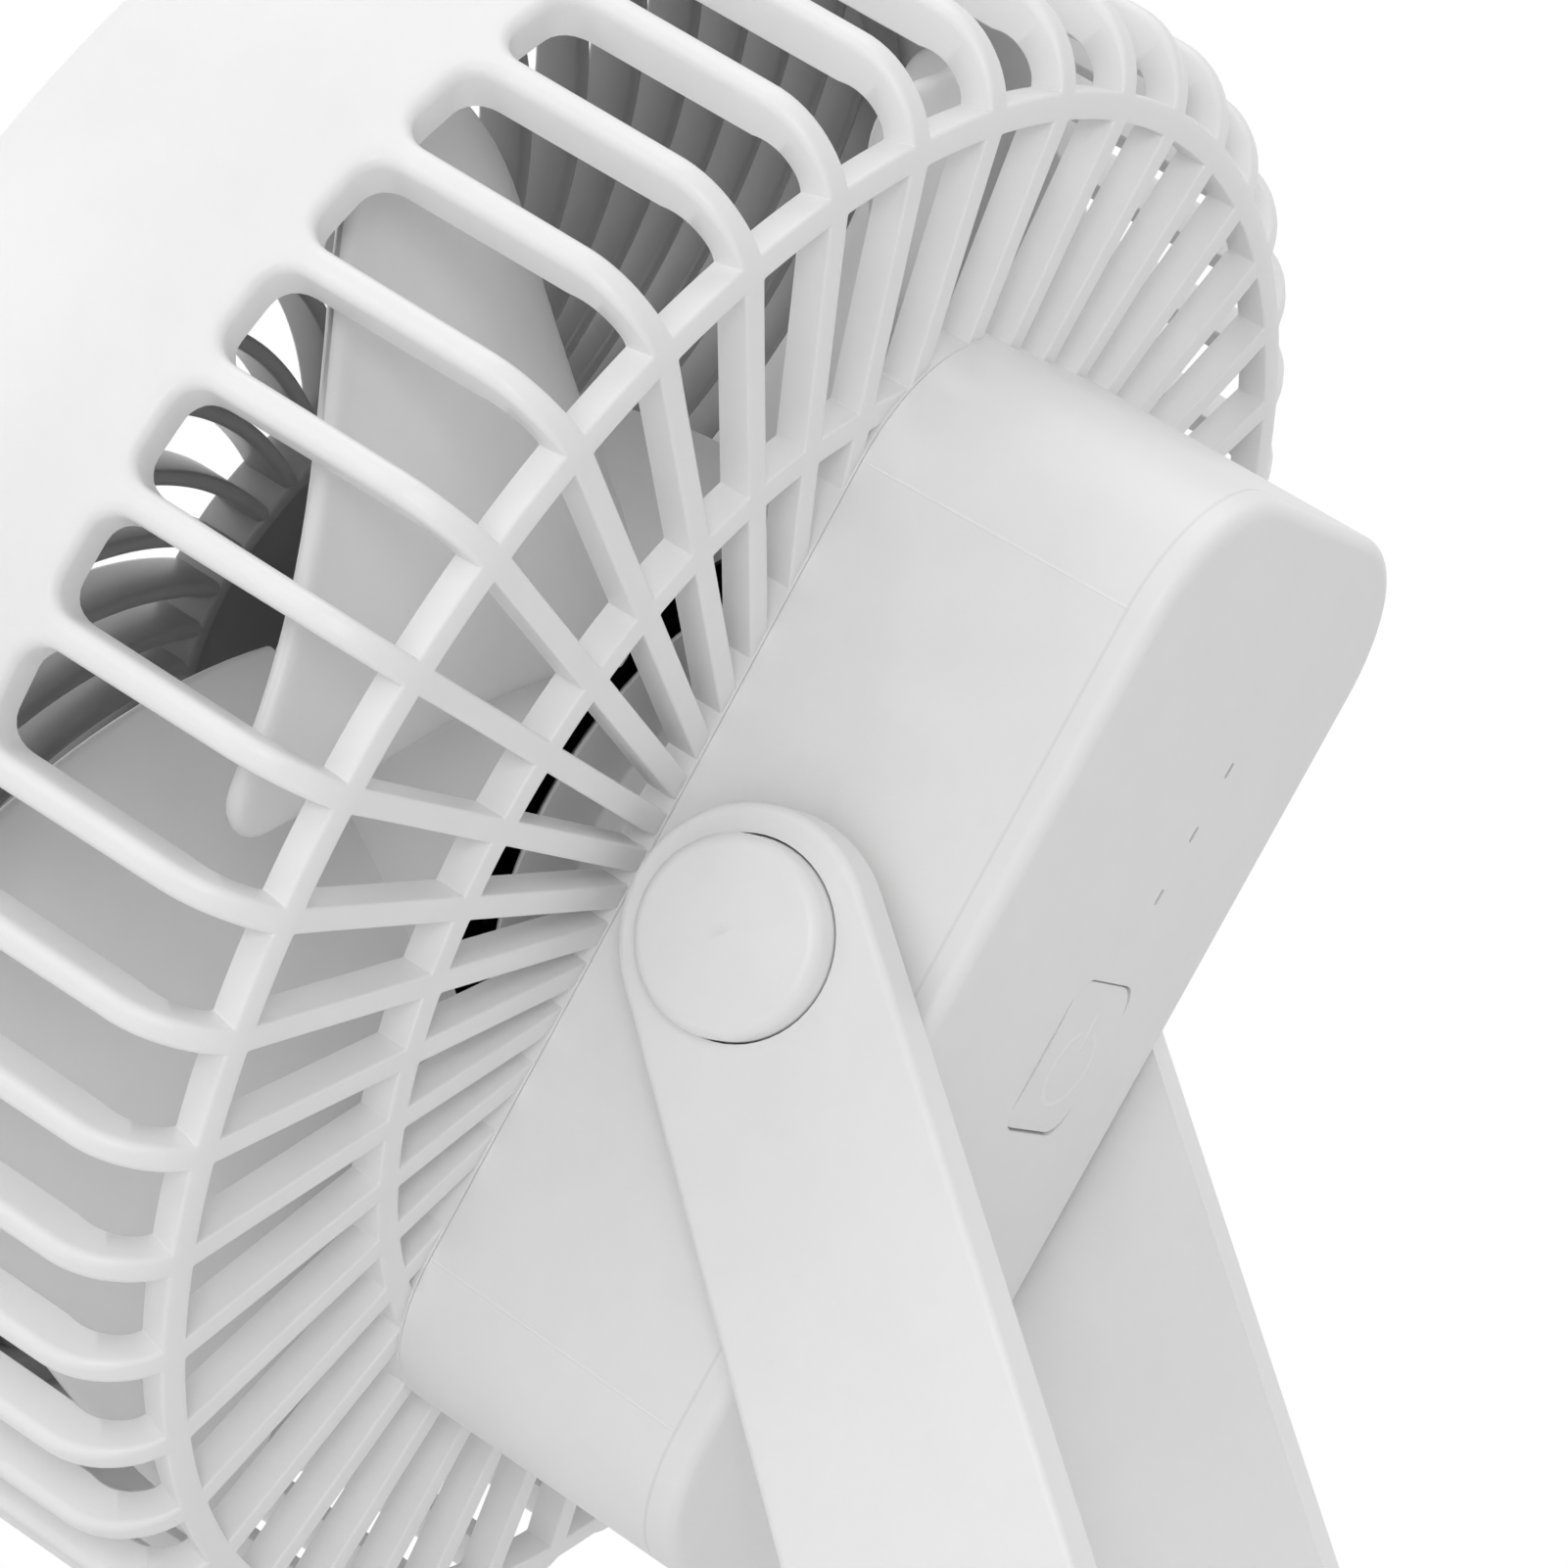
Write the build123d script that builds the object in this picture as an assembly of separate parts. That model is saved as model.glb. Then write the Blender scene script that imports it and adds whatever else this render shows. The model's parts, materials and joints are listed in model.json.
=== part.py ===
# Clip fan: a fan head in a U-shaped yoke, on a swivel, on a sprung clip that also stands on a table.
# Millimetres, +Z up. The origin is the middle of the sole's underside, -Y is the side that the fan
# blows to and that the clip's mouth opens to, and the tilt axis is parallel to X.
from build123d import *
import os
from math import acos, asin, atan2, cos, degrees, pi, radians, sin, sqrt, tan

# ---- How it stands
head_tilt = 31.5          # the fan's axis points this far above level
jaw_slope = 17.7          # upper jaw, swivel axis and yoke arms lean this far to the front

# ---- Clearances
seat_gap = 0.3            # between pieces that seat on each other across a body
fit_gap = 0.2             # round pieces that drop into a pocket
shaft_gap = 0.06          # radial, round shafts and screws that turn

# ---- Rear grille, in the head's own frame: fan axis along Y, y = 0 just inside the ribs' rear face
rear_face = 0.7
rib_count = 44
rib_width = 2.5
rib_depth = 4.6           # along the side, and of the plate under the housing
rear_rib_depth = 3.3      # across the rear face
band_radius = 90.0        # widest place of the smooth band
band_bulge = 1.3          # how far the band stands out between its ends
slot_end_radius = band_radius - band_bulge
slot_end = 28.8           # slots start this far in front of the rear face
band_front_radius = band_radius - band_bulge
band_front = 58.0         # front edge of the band
band_wall = 2.4
band_thickening = 0.3     # how much thicker the band is at its widest place
corner_radius = 9.1       # rounding from the ribs' side to their rear face
side_slope = 0.4          # how much narrower the ribs' side is at the corner
corner_end_radius = slot_end_radius - side_slope - corner_radius
ring_width = 2.8
outer_ring_radius = corner_end_radius + 1.1
outer_ring = (outer_ring_radius - ring_width / 2, outer_ring_radius + ring_width / 2)
inner_ring_radius = 52.6
inner_ring = (inner_ring_radius - ring_width / 2, inner_ring_radius + ring_width / 2)
slot_corner = 2.8
slot_root_radius = 24.0

# ---- Front grille
front_frame_outer = band_front_radius - band_wall - seat_gap
front_frame_inner = front_frame_outer - 4
front_frame_back = 50.0
vane_count = 36
vane_width = 1.6
vane_back = 52.0
vane_lean = 0.85          # degrees from the radius for each mm outside the straight radius
vane_straight_radius = 17.0
front_frame_lip = 0.6
front_hub_radius = 24.0
front_cap_radius = 21.0
front_cap_dome = 2.6

# ---- Impeller and motor
impeller_radius = front_frame_outer - 8   # blades pass inside the frame and the band
blade_count = 5
blade_width = 2.0
blade_rear = 10.5
blade_front = 41.0
blade_rear_angle = -8.0   # rear edge of the first blade at its tip, degrees from +X towards +Z
blade_rear_twist = 29.0   # how much further round the rear edge is at the hub
blade_front_angle = 44.0  # front edge at its tip
blade_front_twist = 23.0  # how much further round the front edge is at the hub
blade_root = 36.0
hub_radius = 33.6
hub_nose_radius = 30.0
hub_wall = 2.0
hub_rear = 14.0
hub_front = 46.5
base_disc_radius = 26.0
base_disc_back = 10.4
base_disc_thick = 2.2
base_boss_radius = 15.0
bearing_tube_radius = 5.5
bearing_tube_front = 25.5
bearing_radius = 4.0
bearing_length = 3.0
shaft_radius = 1.5
stator_teeth = 9
stator_back = 13.0
stator_front = 23.0
winding_overhang = 1.6
magnet_gap = 0.7
magnet_wall = 1.4
cup_wall = 1.2
cup_back = 11.6
cup_front = 28.0
stator_radius = hub_radius - hub_wall - cup_wall - magnet_wall - magnet_gap

# ---- Housing on the back of the grille
housing_half_width = 25.8
housing_half_height = 55.6
housing_corner = 14.4
housing_wall = 2.2
housing_front = rear_face + seat_gap
cover_seam = 30.2
cover_edge = 33.2
cover_crown = 33.5
cover_fillet = 1.5
cover_wall = 2.2
control_x = -6.2          # button and status lights are off the middle
button_size = (13.3, 16.0)
button_gap = 0.25
button_dome = 0.5
button_z = 0.7
button_corner = 2.6
light_heights = (17.8, 24.4, 31.1)
light_slit = (1.7, 0.8)
board_front = 23.3
board_thick = 1.6
board_half_width = 16.0
board_top = 40.0
board_bottom = -52.0
cell_radius = 9.2
cell_length = 65.0
cell_middle = 13.6
usb_shell = (8.94, 3.2, 7.4)

# ---- Tilt pivot
pivot_back = 16.0         # y of the pivot axis in the head's own frame
pivot_height = 116.0      # pivot axis above the upper jaw's top face
pivot_screw_radius = 3.0
pivot_head_radius = 5.0
pivot_head_thick = 1.6
pivot_screw_tip = 20.6
cap_radius = 9.15
cap_rise = 3.7

# ---- Yoke
arm_inside = 28.2
arm_thick = 5.0
arm_top_half = 12.1
arm_taper = 1.1           # degrees each side, wider downwards
yoke_corner = 16.0
crossbar_bottom = 8.0
crossbar_thick = 6.0
foot_radius = 20.0
stem_radius = 7.0
cap_pocket_depth = 3.0

# ---- Clip
jaw_half_width = 31.0
jaw_front = -72.0
jaw_rear = 64.0
jaw_end_radius = 16.0
sole_height = 1.5
lower_jaw_top = 9.0
pad_rise = 1.5
pad_length = 36.0
upper_jaw_thick = 5.5
upper_jaw_rear = 66.0
swivel_y = 6.5
hinge_y = 36.0
hinge_z = 27.0
pin_radius = 2.5
ear_radius = 8.0
ear_thick = 4.5
inner_ear_x = 19.5
spring_wire = 1.1
spring_radius = 6.4
spring_turns = 6
spring_pitch = 3.2
pin_half = 30.6


# ---- Helpers
def rod_y(radius, y0, y1, x=0, z=0):
    """A round bar along Y from y0 to y1."""
    return Pos(x, (y0 + y1) / 2, z) * Rot(X=90) * Cylinder(radius, abs(y1 - y0))


def rod_x(radius, x0, x1, y=0, z=0):
    """A round bar along X from x0 to x1."""
    return Pos((x0 + x1) / 2, y, z) * Rot(Y=90) * Cylinder(radius, abs(x1 - x0))


def rod_z(radius, z0, z1, x=0, y=0):
    """A round bar along Z from z0 to z1."""
    return Pos(x, y, (z0 + z1) / 2) * Cylinder(radius, abs(z1 - z0))


def plate_y(outline, y0, y1):
    """A flat outline drawn in x and z, as thick as y0 to y1."""
    return extrude(Plane.XZ.offset(-y1) * outline, y1 - y0, dir=(0, -1, 0))


def plate_x(outline, x0, x1):
    """A flat outline drawn in y and z, as thick as x0 to x1."""
    return extrude(Plane.YZ.offset(x0) * outline, x1 - x0, dir=(1, 0, 0))


def plate_z(outline, z0, z1):
    """A flat outline drawn in x and y, as thick as z0 to z1."""
    return extrude(Plane.XY.offset(z0) * outline, z1 - z0, dir=(0, 0, 1))


def block(x0, x1, y0, y1, z0, z1):
    """A box between two corners."""
    return Pos((x0 + x1) / 2, (y0 + y1) / 2, (z0 + z1) / 2) * Box(x1 - x0, y1 - y0, z1 - z0)


def face_of(*edges):
    """A face inside a closed run of edges."""
    return make_face(Curve() + list(edges))


def dome(radius, low, top):
    """An arc from (radius, low) up to (0, top) whose centre is on the second axis."""
    rise = top - low
    bend = (radius * radius + rise * rise) / 2 / rise
    half = asin(radius / abs(bend)) / 2
    return ThreePointArc((radius, low), (abs(bend) * sin(half), top - bend * (1 - cos(half))), (0, top))


def turned(part, count, first=0.0):
    """Copies of a part round the fan axis."""
    return [Rot(Y=first + 360 / count * i) * part for i in range(count)]


def mirror_x(part):
    return mirror(part, about=Plane.YZ)


def polar(radius, angle):
    """A point of x and z at an angle in degrees from +X towards +Z."""
    return (radius * cos(radians(angle)), radius * sin(radians(angle)))


# ---- Where the sub-assemblies are
slope_cos = cos(radians(jaw_slope))
slope_sin = sin(radians(jaw_slope))
tip_reach = 82.0          # from the swivel axis to the upper jaw's tip, along the jaw
pad_top = lower_jaw_top + pad_rise
swivel_z = pad_top + seat_gap + tip_reach * slope_sin + (upper_jaw_thick + pad_rise) * slope_cos
swivel_foot = (0, swivel_y, swivel_z)
pivot = (0, swivel_y - pivot_height * slope_sin, swivel_z + pivot_height * slope_cos)
hinge_v = (hinge_y - swivel_y) * slope_cos + (hinge_z - swivel_z) * slope_sin
hinge_w = (hinge_z - swivel_z) * slope_cos - (hinge_y - swivel_y) * slope_sin


def on_head(part):
    """From the head's own frame to the row's frame."""
    return Pos(*pivot) * Rot(X=-head_tilt) * Pos(0, -pivot_back, 0) * part


def on_jaw(part):
    """From the sloping jaw's frame, swivel axis along its Z, to the row's frame."""
    return Pos(*swivel_foot) * Rot(X=jaw_slope) * part


motor_screw_places = [polar(10.5, angle) for angle in (90, 210, 330)]
housing_screw_places = [(x, z) for x in (-17, 17) for z in (-44, 44)]

# ---- Rear grille
footprint = RectangleRounded(2 * housing_half_width, 2 * housing_half_height, housing_corner)


def grille_profile():
    """Wall of the grille in radius and y: bulged band, straight rib side, rounded corner, flat rear."""
    side_radius = corner_end_radius + corner_radius
    bend = corner_radius * (1 - cos(pi / 4))
    corner_y = rear_face - corner_radius
    inner_side = side_radius - rib_depth
    inner_middle = (corner_radius - (rib_depth + rear_rib_depth) / 2) * cos(pi / 4)
    band_inside = band_radius - band_wall - band_thickening
    outer = [
        ThreePointArc((band_front_radius, -band_front), (band_radius, -(band_front + slot_end) / 2),
                      (slot_end_radius, -slot_end)),
        Line((slot_end_radius, -slot_end), (side_radius, corner_y)),
        ThreePointArc((side_radius, corner_y), (side_radius - bend, rear_face - bend),
                      (corner_end_radius, rear_face)),
        Line((corner_end_radius, rear_face), (0, rear_face)),
        Line((0, rear_face), (0, rear_face - rear_rib_depth)),
    ]
    inner = [
        Line((0, rear_face - rear_rib_depth), (corner_end_radius, rear_face - rear_rib_depth)),
        ThreePointArc((corner_end_radius, rear_face - rear_rib_depth),
                      (corner_end_radius + inner_middle, corner_y + inner_middle), (inner_side, corner_y)),
        Line((inner_side, corner_y), (slot_end_radius - rib_depth, -slot_end)),
        Line((slot_end_radius - rib_depth, -slot_end), (band_inside, -slot_end - rib_depth)),
        Line((band_inside, -slot_end - rib_depth), (band_front_radius - band_wall, -band_front)),
        Line((band_front_radius - band_wall, -band_front), (band_front_radius, -band_front)),
    ]
    return face_of(*outer, *inner)


def slot_outline(r0, r1):
    """The gap between two ribs from radius r0 to r1, with sides parallel to the ribs."""
    half_pitch = 180 / rib_count
    a0 = half_pitch - degrees(asin(rib_width / 2 / r0))
    a1 = half_pitch - degrees(asin(rib_width / 2 / r1))
    return Polygon(polar(r0, -a0), polar(r1, -a1), polar(r1, a1), polar(r0, a0), align=None)


def make_rear_grille():
    shell = revolve(grille_profile(), Axis.Y)
    side_slot = plate_y(slot_outline(outer_ring[1], band_radius + 6), -slot_end, 3)
    front_edges = side_slot.edges().filter_by_position(Axis.Y, -slot_end - 0.01, -slot_end + 0.01)
    side_slot = fillet(front_edges.sort_by(Edge.length)[-2:], slot_corner)
    plate_edge = plate_y(footprint, -rib_depth - 3, 3)
    middle_slot = plate_y(slot_outline(inner_ring[1], outer_ring[0]), -rib_depth - 1, 3)
    root_slot = plate_y(slot_outline(slot_root_radius, inner_ring[0]), -rib_depth - 1, 3)
    first = 180 / rib_count
    rear_slots = turned(middle_slot, rib_count, first) + turned(root_slot, rib_count, first)
    rear_slots = [slot - plate_edge for slot in rear_slots]
    grille = shell - turned(side_slot, rib_count, first) - [slot for slot in rear_slots if slot.volume > 1]
    plate = plate_y(footprint, -rib_depth, rear_face)
    holes = [rod_y(1.35, -rib_depth - 1, 3, x, z) for x, z in motor_screw_places]
    holes += [rod_y(2.8, -0.9, 3, x, z) for x, z in motor_screw_places]
    holes += [rod_y(1.5, -rib_depth - 1, 3, x, z) for x, z in housing_screw_places]
    return grille + plate - holes


def screw_y(x, z, head_y, tip_y, head_radius, head_thick, shank_radius):
    """A screw along Y, its head towards +Y with a cross recess."""
    head = rod_y(head_radius, head_y, head_y + head_thick, x, z)
    shank = rod_y(shank_radius, tip_y, head_y, x, z)
    recess = Pos(x, head_y + head_thick, z) * (Box(head_radius, 1.0, 0.5) + Box(0.5, 1.0, head_radius))
    return head + shank - recess


# ---- Front grille
def vane_points(radius0, radius1, side):
    """Points along one side of a vane; it leans further from the radius as it goes outwards."""
    points = []
    angle = 0.0
    steps = 60
    for i in range(steps + 1):
        radius = radius0 + (radius1 - radius0) * i / steps
        lean = radians(vane_lean * (radius - vane_straight_radius))
        if i:
            angle -= tan(lean) / radius * (radius1 - radius0) / steps
        if i % 12 == 0:
            across = side * vane_width / 2 / cos(lean)
            points.append(polar(radius, degrees(angle + across / radius)))
    return points


def make_front_grille():
    left = vane_points(front_hub_radius - 1.5, front_frame_inner + 1, -1)
    right = vane_points(front_hub_radius - 1.5, front_frame_inner + 1, 1)
    outline = face_of(Spline(left), Line(left[-1], right[-1]), Spline(list(reversed(right))),
                      Line(right[0], left[0]))
    vane = plate_y(outline, -band_front, -vane_back)
    frame = Circle(front_frame_outer) - Circle(front_frame_inner)
    frame = plate_y(frame, -band_front - front_frame_lip, -front_frame_back)
    hub = rod_y(front_hub_radius, -band_front + 1, -band_front + 3.4)
    hub_wall_ring = plate_y(Circle(front_hub_radius) - Circle(front_hub_radius - 2), -band_front, -vane_back)
    socket = plate_y(Circle(3.4) - Circle(1.6), -band_front + 3.4, -band_front + 5)
    return frame + [hub, hub_wall_ring, socket] + turned(vane, vane_count)


def make_front_cap():
    """A domed disc with a short peg that sits in the front grille's hub."""
    front = band_front - 1
    profile = face_of(
        Line((0, -front), (front_cap_radius, -front)),
        Line((front_cap_radius, -front), (front_cap_radius, -front - 1)),
        dome(front_cap_radius, -front - 1, -front - 1 - front_cap_dome),
        Line((0, -front - 1 - front_cap_dome), (0, -front)))
    return revolve(profile, Axis.Y)


# ---- Motor
def make_motor_base():
    disc = rod_y(base_disc_radius, -base_disc_back - base_disc_thick, -base_disc_back)
    boss = rod_y(base_boss_radius, -base_disc_back, -rib_depth)
    tube = rod_y(bearing_tube_radius, -bearing_tube_front, -base_disc_back)
    shaft_room = rod_y(shaft_radius + 0.8, -bearing_tube_front - 1, -base_disc_back - 1)
    rear_seat = rod_y(bearing_radius, -stator_back - bearing_length, -stator_back)
    front_seat = rod_y(bearing_radius, -bearing_tube_front - 1, -bearing_tube_front + bearing_length)
    holes = [rod_y(1.3, -base_disc_back - 1, -rib_depth + 1, x, z) for x, z in motor_screw_places]
    return disc + boss + tube - [shaft_room, rear_seat, front_seat] - holes


def make_motor_screws():
    return [screw_y(x, z, -0.9, -base_disc_back + 0.5, 2.6, 1.4, 1.3) for x, z in motor_screw_places]


def make_bearings():
    ring = plate_y(Circle(bearing_radius) - Circle(shaft_radius + shaft_gap / 2), 0, bearing_length)
    return [Pos(0, -stator_back - bearing_length, 0) * ring, Pos(0, -bearing_tube_front, 0) * ring]


def make_stator():
    tooth = Pos((stator_radius + 7) / 2, 0) * Rectangle(stator_radius - 9, 3.2)
    tip = Circle(stator_radius) - Circle(stator_radius - 1.7)
    wedge = Polygon((0, 0), polar(60, -16.5), polar(60, 16.5), align=None)
    tip = tip & wedge
    core = Circle(9.4) - Circle(bearing_tube_radius)
    outline = core + [Rot(Z=360 / stator_teeth * i) * (tooth + tip) for i in range(stator_teeth)]
    return plate_y(outline, -stator_front + winding_overhang, -stator_back - winding_overhang)


def make_windings():
    """One closed coil round each tooth, wider towards the rim."""
    outer = Polygon((11.2, -3.3), (24.4, -6.4), (24.4, 6.4), (11.2, 3.3), align=None)
    outer = fillet(outer.vertices(), 1.2)
    coil = plate_y(outer, -stator_front, -stator_back)
    tooth = block(9, 27, -stator_front + winding_overhang, -stator_back - winding_overhang, -1.6, 1.6)
    return turned(coil - tooth, stator_teeth)


cup_radius = hub_radius - hub_wall
magnet_radius = cup_radius - cup_wall


def make_rotor_cup():
    profile = Polyline((cup_radius, -cup_back), (cup_radius, -cup_front), (shaft_radius, -cup_front),
                       (shaft_radius, -cup_front + 1.4), (magnet_radius, -cup_front + 1.4),
                       (magnet_radius, -cup_back), close=True)
    cup = revolve(make_face(profile), Axis.Y)
    vent = rod_y(3.2, -cup_front - 1, -cup_front + 2, x=17)
    return cup - turned(vent, 8)


def make_magnet():
    ring = Circle(magnet_radius) - Circle(magnet_radius - magnet_wall)
    return plate_y(ring, -stator_front - 1, -stator_back + 0.6)


def make_shaft():
    shaft = rod_y(shaft_radius, -hub_front - 4.2, -stator_back)
    return shaft - block(-2, 2, -hub_front - 5, -hub_front + 4, shaft_radius - 0.4, 3)


# ---- Impeller
def blade_angle(radius, share):
    """Where a blade is round the axis, in degrees, from its rear edge (0) to its front edge (1)."""
    inward = max(0, impeller_radius - radius) / (impeller_radius - blade_root)
    rear = blade_rear_angle + blade_rear_twist * inward ** 1.6
    front = blade_front_angle + blade_front_twist * inward
    return rear + (front - rear) * share


def blade_depth(share):
    """How far a blade is along -Y: nearly flat at the rear, then steeper."""
    return blade_rear + (blade_front - blade_rear) * share ** 1.9


def blade_section(distance):
    """A blade's section in a plane across the radius at a blade's middle, as a closed face."""
    middle = blade_angle(distance, 0.5)
    line = []
    for i in range(7):
        share = i / 6
        across = 0.0
        for _ in range(12):
            radius = sqrt(distance ** 2 + across ** 2)
            turn = blade_angle(radius, share) - middle
            across = distance * tan(radians(max(-50, min(50, turn))))
        line.append(Vector(across, -blade_depth(share)))
    left = []
    right = []
    for i, point in enumerate(line):
        ahead = line[min(i + 1, 6)] - line[max(i - 1, 0)]
        side = Vector(-ahead.Y, ahead.X).normalized() * (blade_width / 2)
        left.append(point + side)
        right.append(point - side)
    # the plane's local x runs round the axis, its local y along the fan axis
    plane = Plane(origin=(distance, 0, 0), x_dir=(0, 0, 1), z_dir=(-1, 0, 0))
    outline = face_of(Spline(left), Line(left[-1], right[-1]), Spline(list(reversed(right))),
                      Line(right[0], left[0]))
    return plane * outline, middle


blade_reach = impeller_radius + 2
loft_distances = [blade_root - 7 + (blade_reach - blade_root + 7) * i / 3 for i in range(4)]


def make_blade():
    """A blade lofted through sections; a turn from +X towards +Z is a negative turn about +Y."""
    sections = []
    for distance in loft_distances:
        face, middle = blade_section(distance)
        sections.append(Rot(Y=-middle) * face)
    return loft(sections)


def make_impeller():
    outer = face_of(
        Line((0, -hub_front - 2), (hub_nose_radius - 3, -hub_front - 2)),
        RadiusArc((hub_nose_radius - 3, -hub_front - 2), (hub_nose_radius, -hub_front + 1), -3),
        Line((hub_nose_radius, -hub_front + 1), (hub_radius, -cup_front)),
        Line((hub_radius, -cup_front), (hub_radius, -hub_rear)),
        Line((hub_radius, -hub_rear), (0, -hub_rear)),
        Line((0, -hub_rear), (0, -hub_front - 2)))
    inner = Polyline((0, -8), (cup_radius, -8), (cup_radius, -cup_front),
                     (hub_nose_radius - hub_wall, -hub_front), (0, -hub_front), close=True)
    solid_hub = revolve(outer, Axis.Y)
    room = revolve(make_face(inner), Axis.Y)
    reach = revolve(make_face(Polyline((28, -9), (impeller_radius - 0.1, -9), (impeller_radius, -38),
                                       (impeller_radius - 5, -45), (28, -45), close=True)), Axis.Y)
    blades = [blade & reach for blade in turned(make_blade(), blade_count)]
    boss = rod_y(5, -hub_front, -cup_front)
    rib = block(4.5, hub_nose_radius - 1, -hub_front, -hub_front + 6, -0.8, 0.8)
    shaft_hole = rod_y(shaft_radius, -hub_front - 3, -cup_front + 1)
    return solid_hub + blades - room + [boss, *turned(rib, 5)] - shaft_hole


def make_impeller_nut():
    nut = plate_y(RegularPolygon(3.2, 6), -hub_front - 2 - 2.2, -hub_front - 2)
    return nut - rod_y(shaft_radius, -hub_front - 6, -hub_front)


# ---- Housing on the back of the head
def rounded_block(inset, y0, y1):
    outline = RectangleRounded(2 * (housing_half_width - inset), 2 * (housing_half_height - inset),
                               housing_corner - inset)
    return plate_y(outline, y0, y1)


button_place = Pos(control_x, button_z)
board_post_places = [(x, z) for x in (-12.5, 12.5) for z in (-38.5, 36.5)]
usb_y = board_front - usb_shell[1] / 2


def pivot_bore(side, x0, x1):
    return rod_x(pivot_screw_radius, side * x0, side * x1, pivot_back, 0)


def make_housing():
    room = rounded_block(housing_wall, housing_front + housing_wall, 40)
    shell = rounded_block(0, housing_front, cover_seam) - room
    bosses = [rod_x(6.2, side * 19.4, side * (housing_half_width - 1), pivot_back, 0) for side in (-1, 1)]
    posts = [rod_y(2.5, housing_front + 1, board_front, x, z) for x, z in board_post_places]
    bores = [pivot_bore(side, 19, 30) for side in (-1, 1)]
    screw_holes = [rod_y(1.5, 0, 5, x, z) for x, z in housing_screw_places]
    post_holes = [rod_y(0.9, board_front - 7, board_front + 1, x, z) for x, z in board_post_places]
    slot = plate_z(Pos(0, usb_y) * RectangleRounded(9.6, 3.9, 1.9), -housing_half_height - 1,
                   -housing_half_height + housing_wall + 1)
    return shell + bosses + posts - bores - screw_holes - post_holes - slot


def crown(height):
    """Everything in front of a rear surface crowned across X, height behind the ribs at the middle."""
    radius = (housing_half_width ** 2 + (cover_crown - cover_edge) ** 2) / 2 / (cover_crown - cover_edge)
    return rod_z(radius - (cover_crown - height), -housing_half_height - 4, housing_half_height + 4, 0,
                 cover_crown - radius)


def light_hole(height, grow, y0, y1):
    slit = SlotOverall(light_slit[0] + 2 * grow, light_slit[1] + 2 * grow)
    outline = Pos(control_x, height) * Rot(Z=90) * slit
    return plate_y(outline, y0, y1)


def make_rear_cover():
    block_of = rounded_block(0, cover_seam, 40) & crown(cover_crown)
    rim = block_of.edges().filter_by_position(Axis.Y, cover_edge - 1.5, 40)
    cover = fillet(rim, cover_fillet)
    cover = cover - (rounded_block(housing_wall + 0.6, 25, 40) & crown(cover_crown - cover_wall))
    lip = rounded_block(housing_wall + 0.2, cover_seam - 3, cover_seam + 1.5)
    lip = lip - rounded_block(housing_wall + 1.6, 20, 40)
    button_hole = plate_y(button_place * RectangleRounded(*button_size, button_corner), 25, 45)
    slits = [light_hole(z, 0, 25, 45) for z in light_heights]
    return cover + lip - button_hole - slits


def make_light_guide():
    bars = [light_hole(z, 0, cover_crown - 3, 40) & crown(cover_crown - 0.1) for z in light_heights]
    middle = (light_heights[0] + light_heights[-1]) / 2
    rail = plate_y(Pos(control_x, middle) * RectangleRounded(4, 18, 1), cover_crown - 3.6, cover_crown)
    return (rail & crown(cover_crown - cover_wall)) + bars


def make_status_lights():
    base = board_front + board_thick
    return [block(control_x - 0.8, control_x + 0.8, base, base + 0.8, z - 0.5, z + 0.5)
            for z in light_heights]


def make_cells():
    cells = []
    for x in (-cell_radius - 0.4, cell_radius + 0.4):
        cell = rod_z(cell_radius, -cell_length / 2, cell_length / 2, x, cell_middle)
        cell = chamfer(cell.edges(), 0.8) + rod_z(2.6, 0, cell_length / 2 + 0.8, x, cell_middle)
        cells.append(cell)
    return cells


def make_cradle():
    """End plates with contact springs left plain, and a strip between the cells."""
    low = housing_front + housing_wall
    end = plate_z(Pos(0, (low + 23) / 2) * RectangleRounded(38, 23 - low, 2), cell_length / 2 + 0.8,
                  cell_length / 2 + 2.2)
    posts = [rod_y(2.7, 0, 40, x, z) for x, z in board_post_places]
    strip = block(-3.2, 3.2, low, low + 1.6, -cell_length / 2 - 0.8, cell_length / 2 + 0.8)
    return strip + end + mirror(end, about=Plane.XY) - posts


def make_board():
    outline = Pos(0, (board_top + board_bottom) / 2) * RectangleRounded(
        2 * board_half_width, board_top - board_bottom, 2)
    board = plate_y(outline, board_front, board_front + board_thick)
    return board - [rod_y(1.1, board_front - 1, board_front + 3, x, z) for x, z in board_post_places]


def make_board_parts():
    """Charging chip, coil and connectors on the board's rear side."""
    top = board_front + board_thick
    chip = block(-4, 4, top, top + 1, -30, -22)
    coil = block(5, 11, top, top + 2.4, -31, -25)
    plug = block(-11, -5, top, top + 2.6, -46, -40)
    caps = [rod_y(1.8, top, top + 2.4, x, -14) for x in (-9, -4, 4, 9)]
    return [chip, coil, plug] + caps


def make_board_screws():
    top = board_front + board_thick
    return [screw_y(x, z, top, top - 6, 1.9, 1.1, 0.9) for x, z in board_post_places]


def make_power_switch():
    base = board_front + board_thick
    body = block(control_x - 3, control_x + 3, base, base + 3.4, button_z - 3, button_z + 3)
    return body - rod_y(1.85, base + 1.3, base + 4, control_x, button_z)


def make_switch_plunger():
    base = board_front + board_thick
    return rod_y(1.75, base + 2.3, base + 4.4, control_x, button_z)


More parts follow.
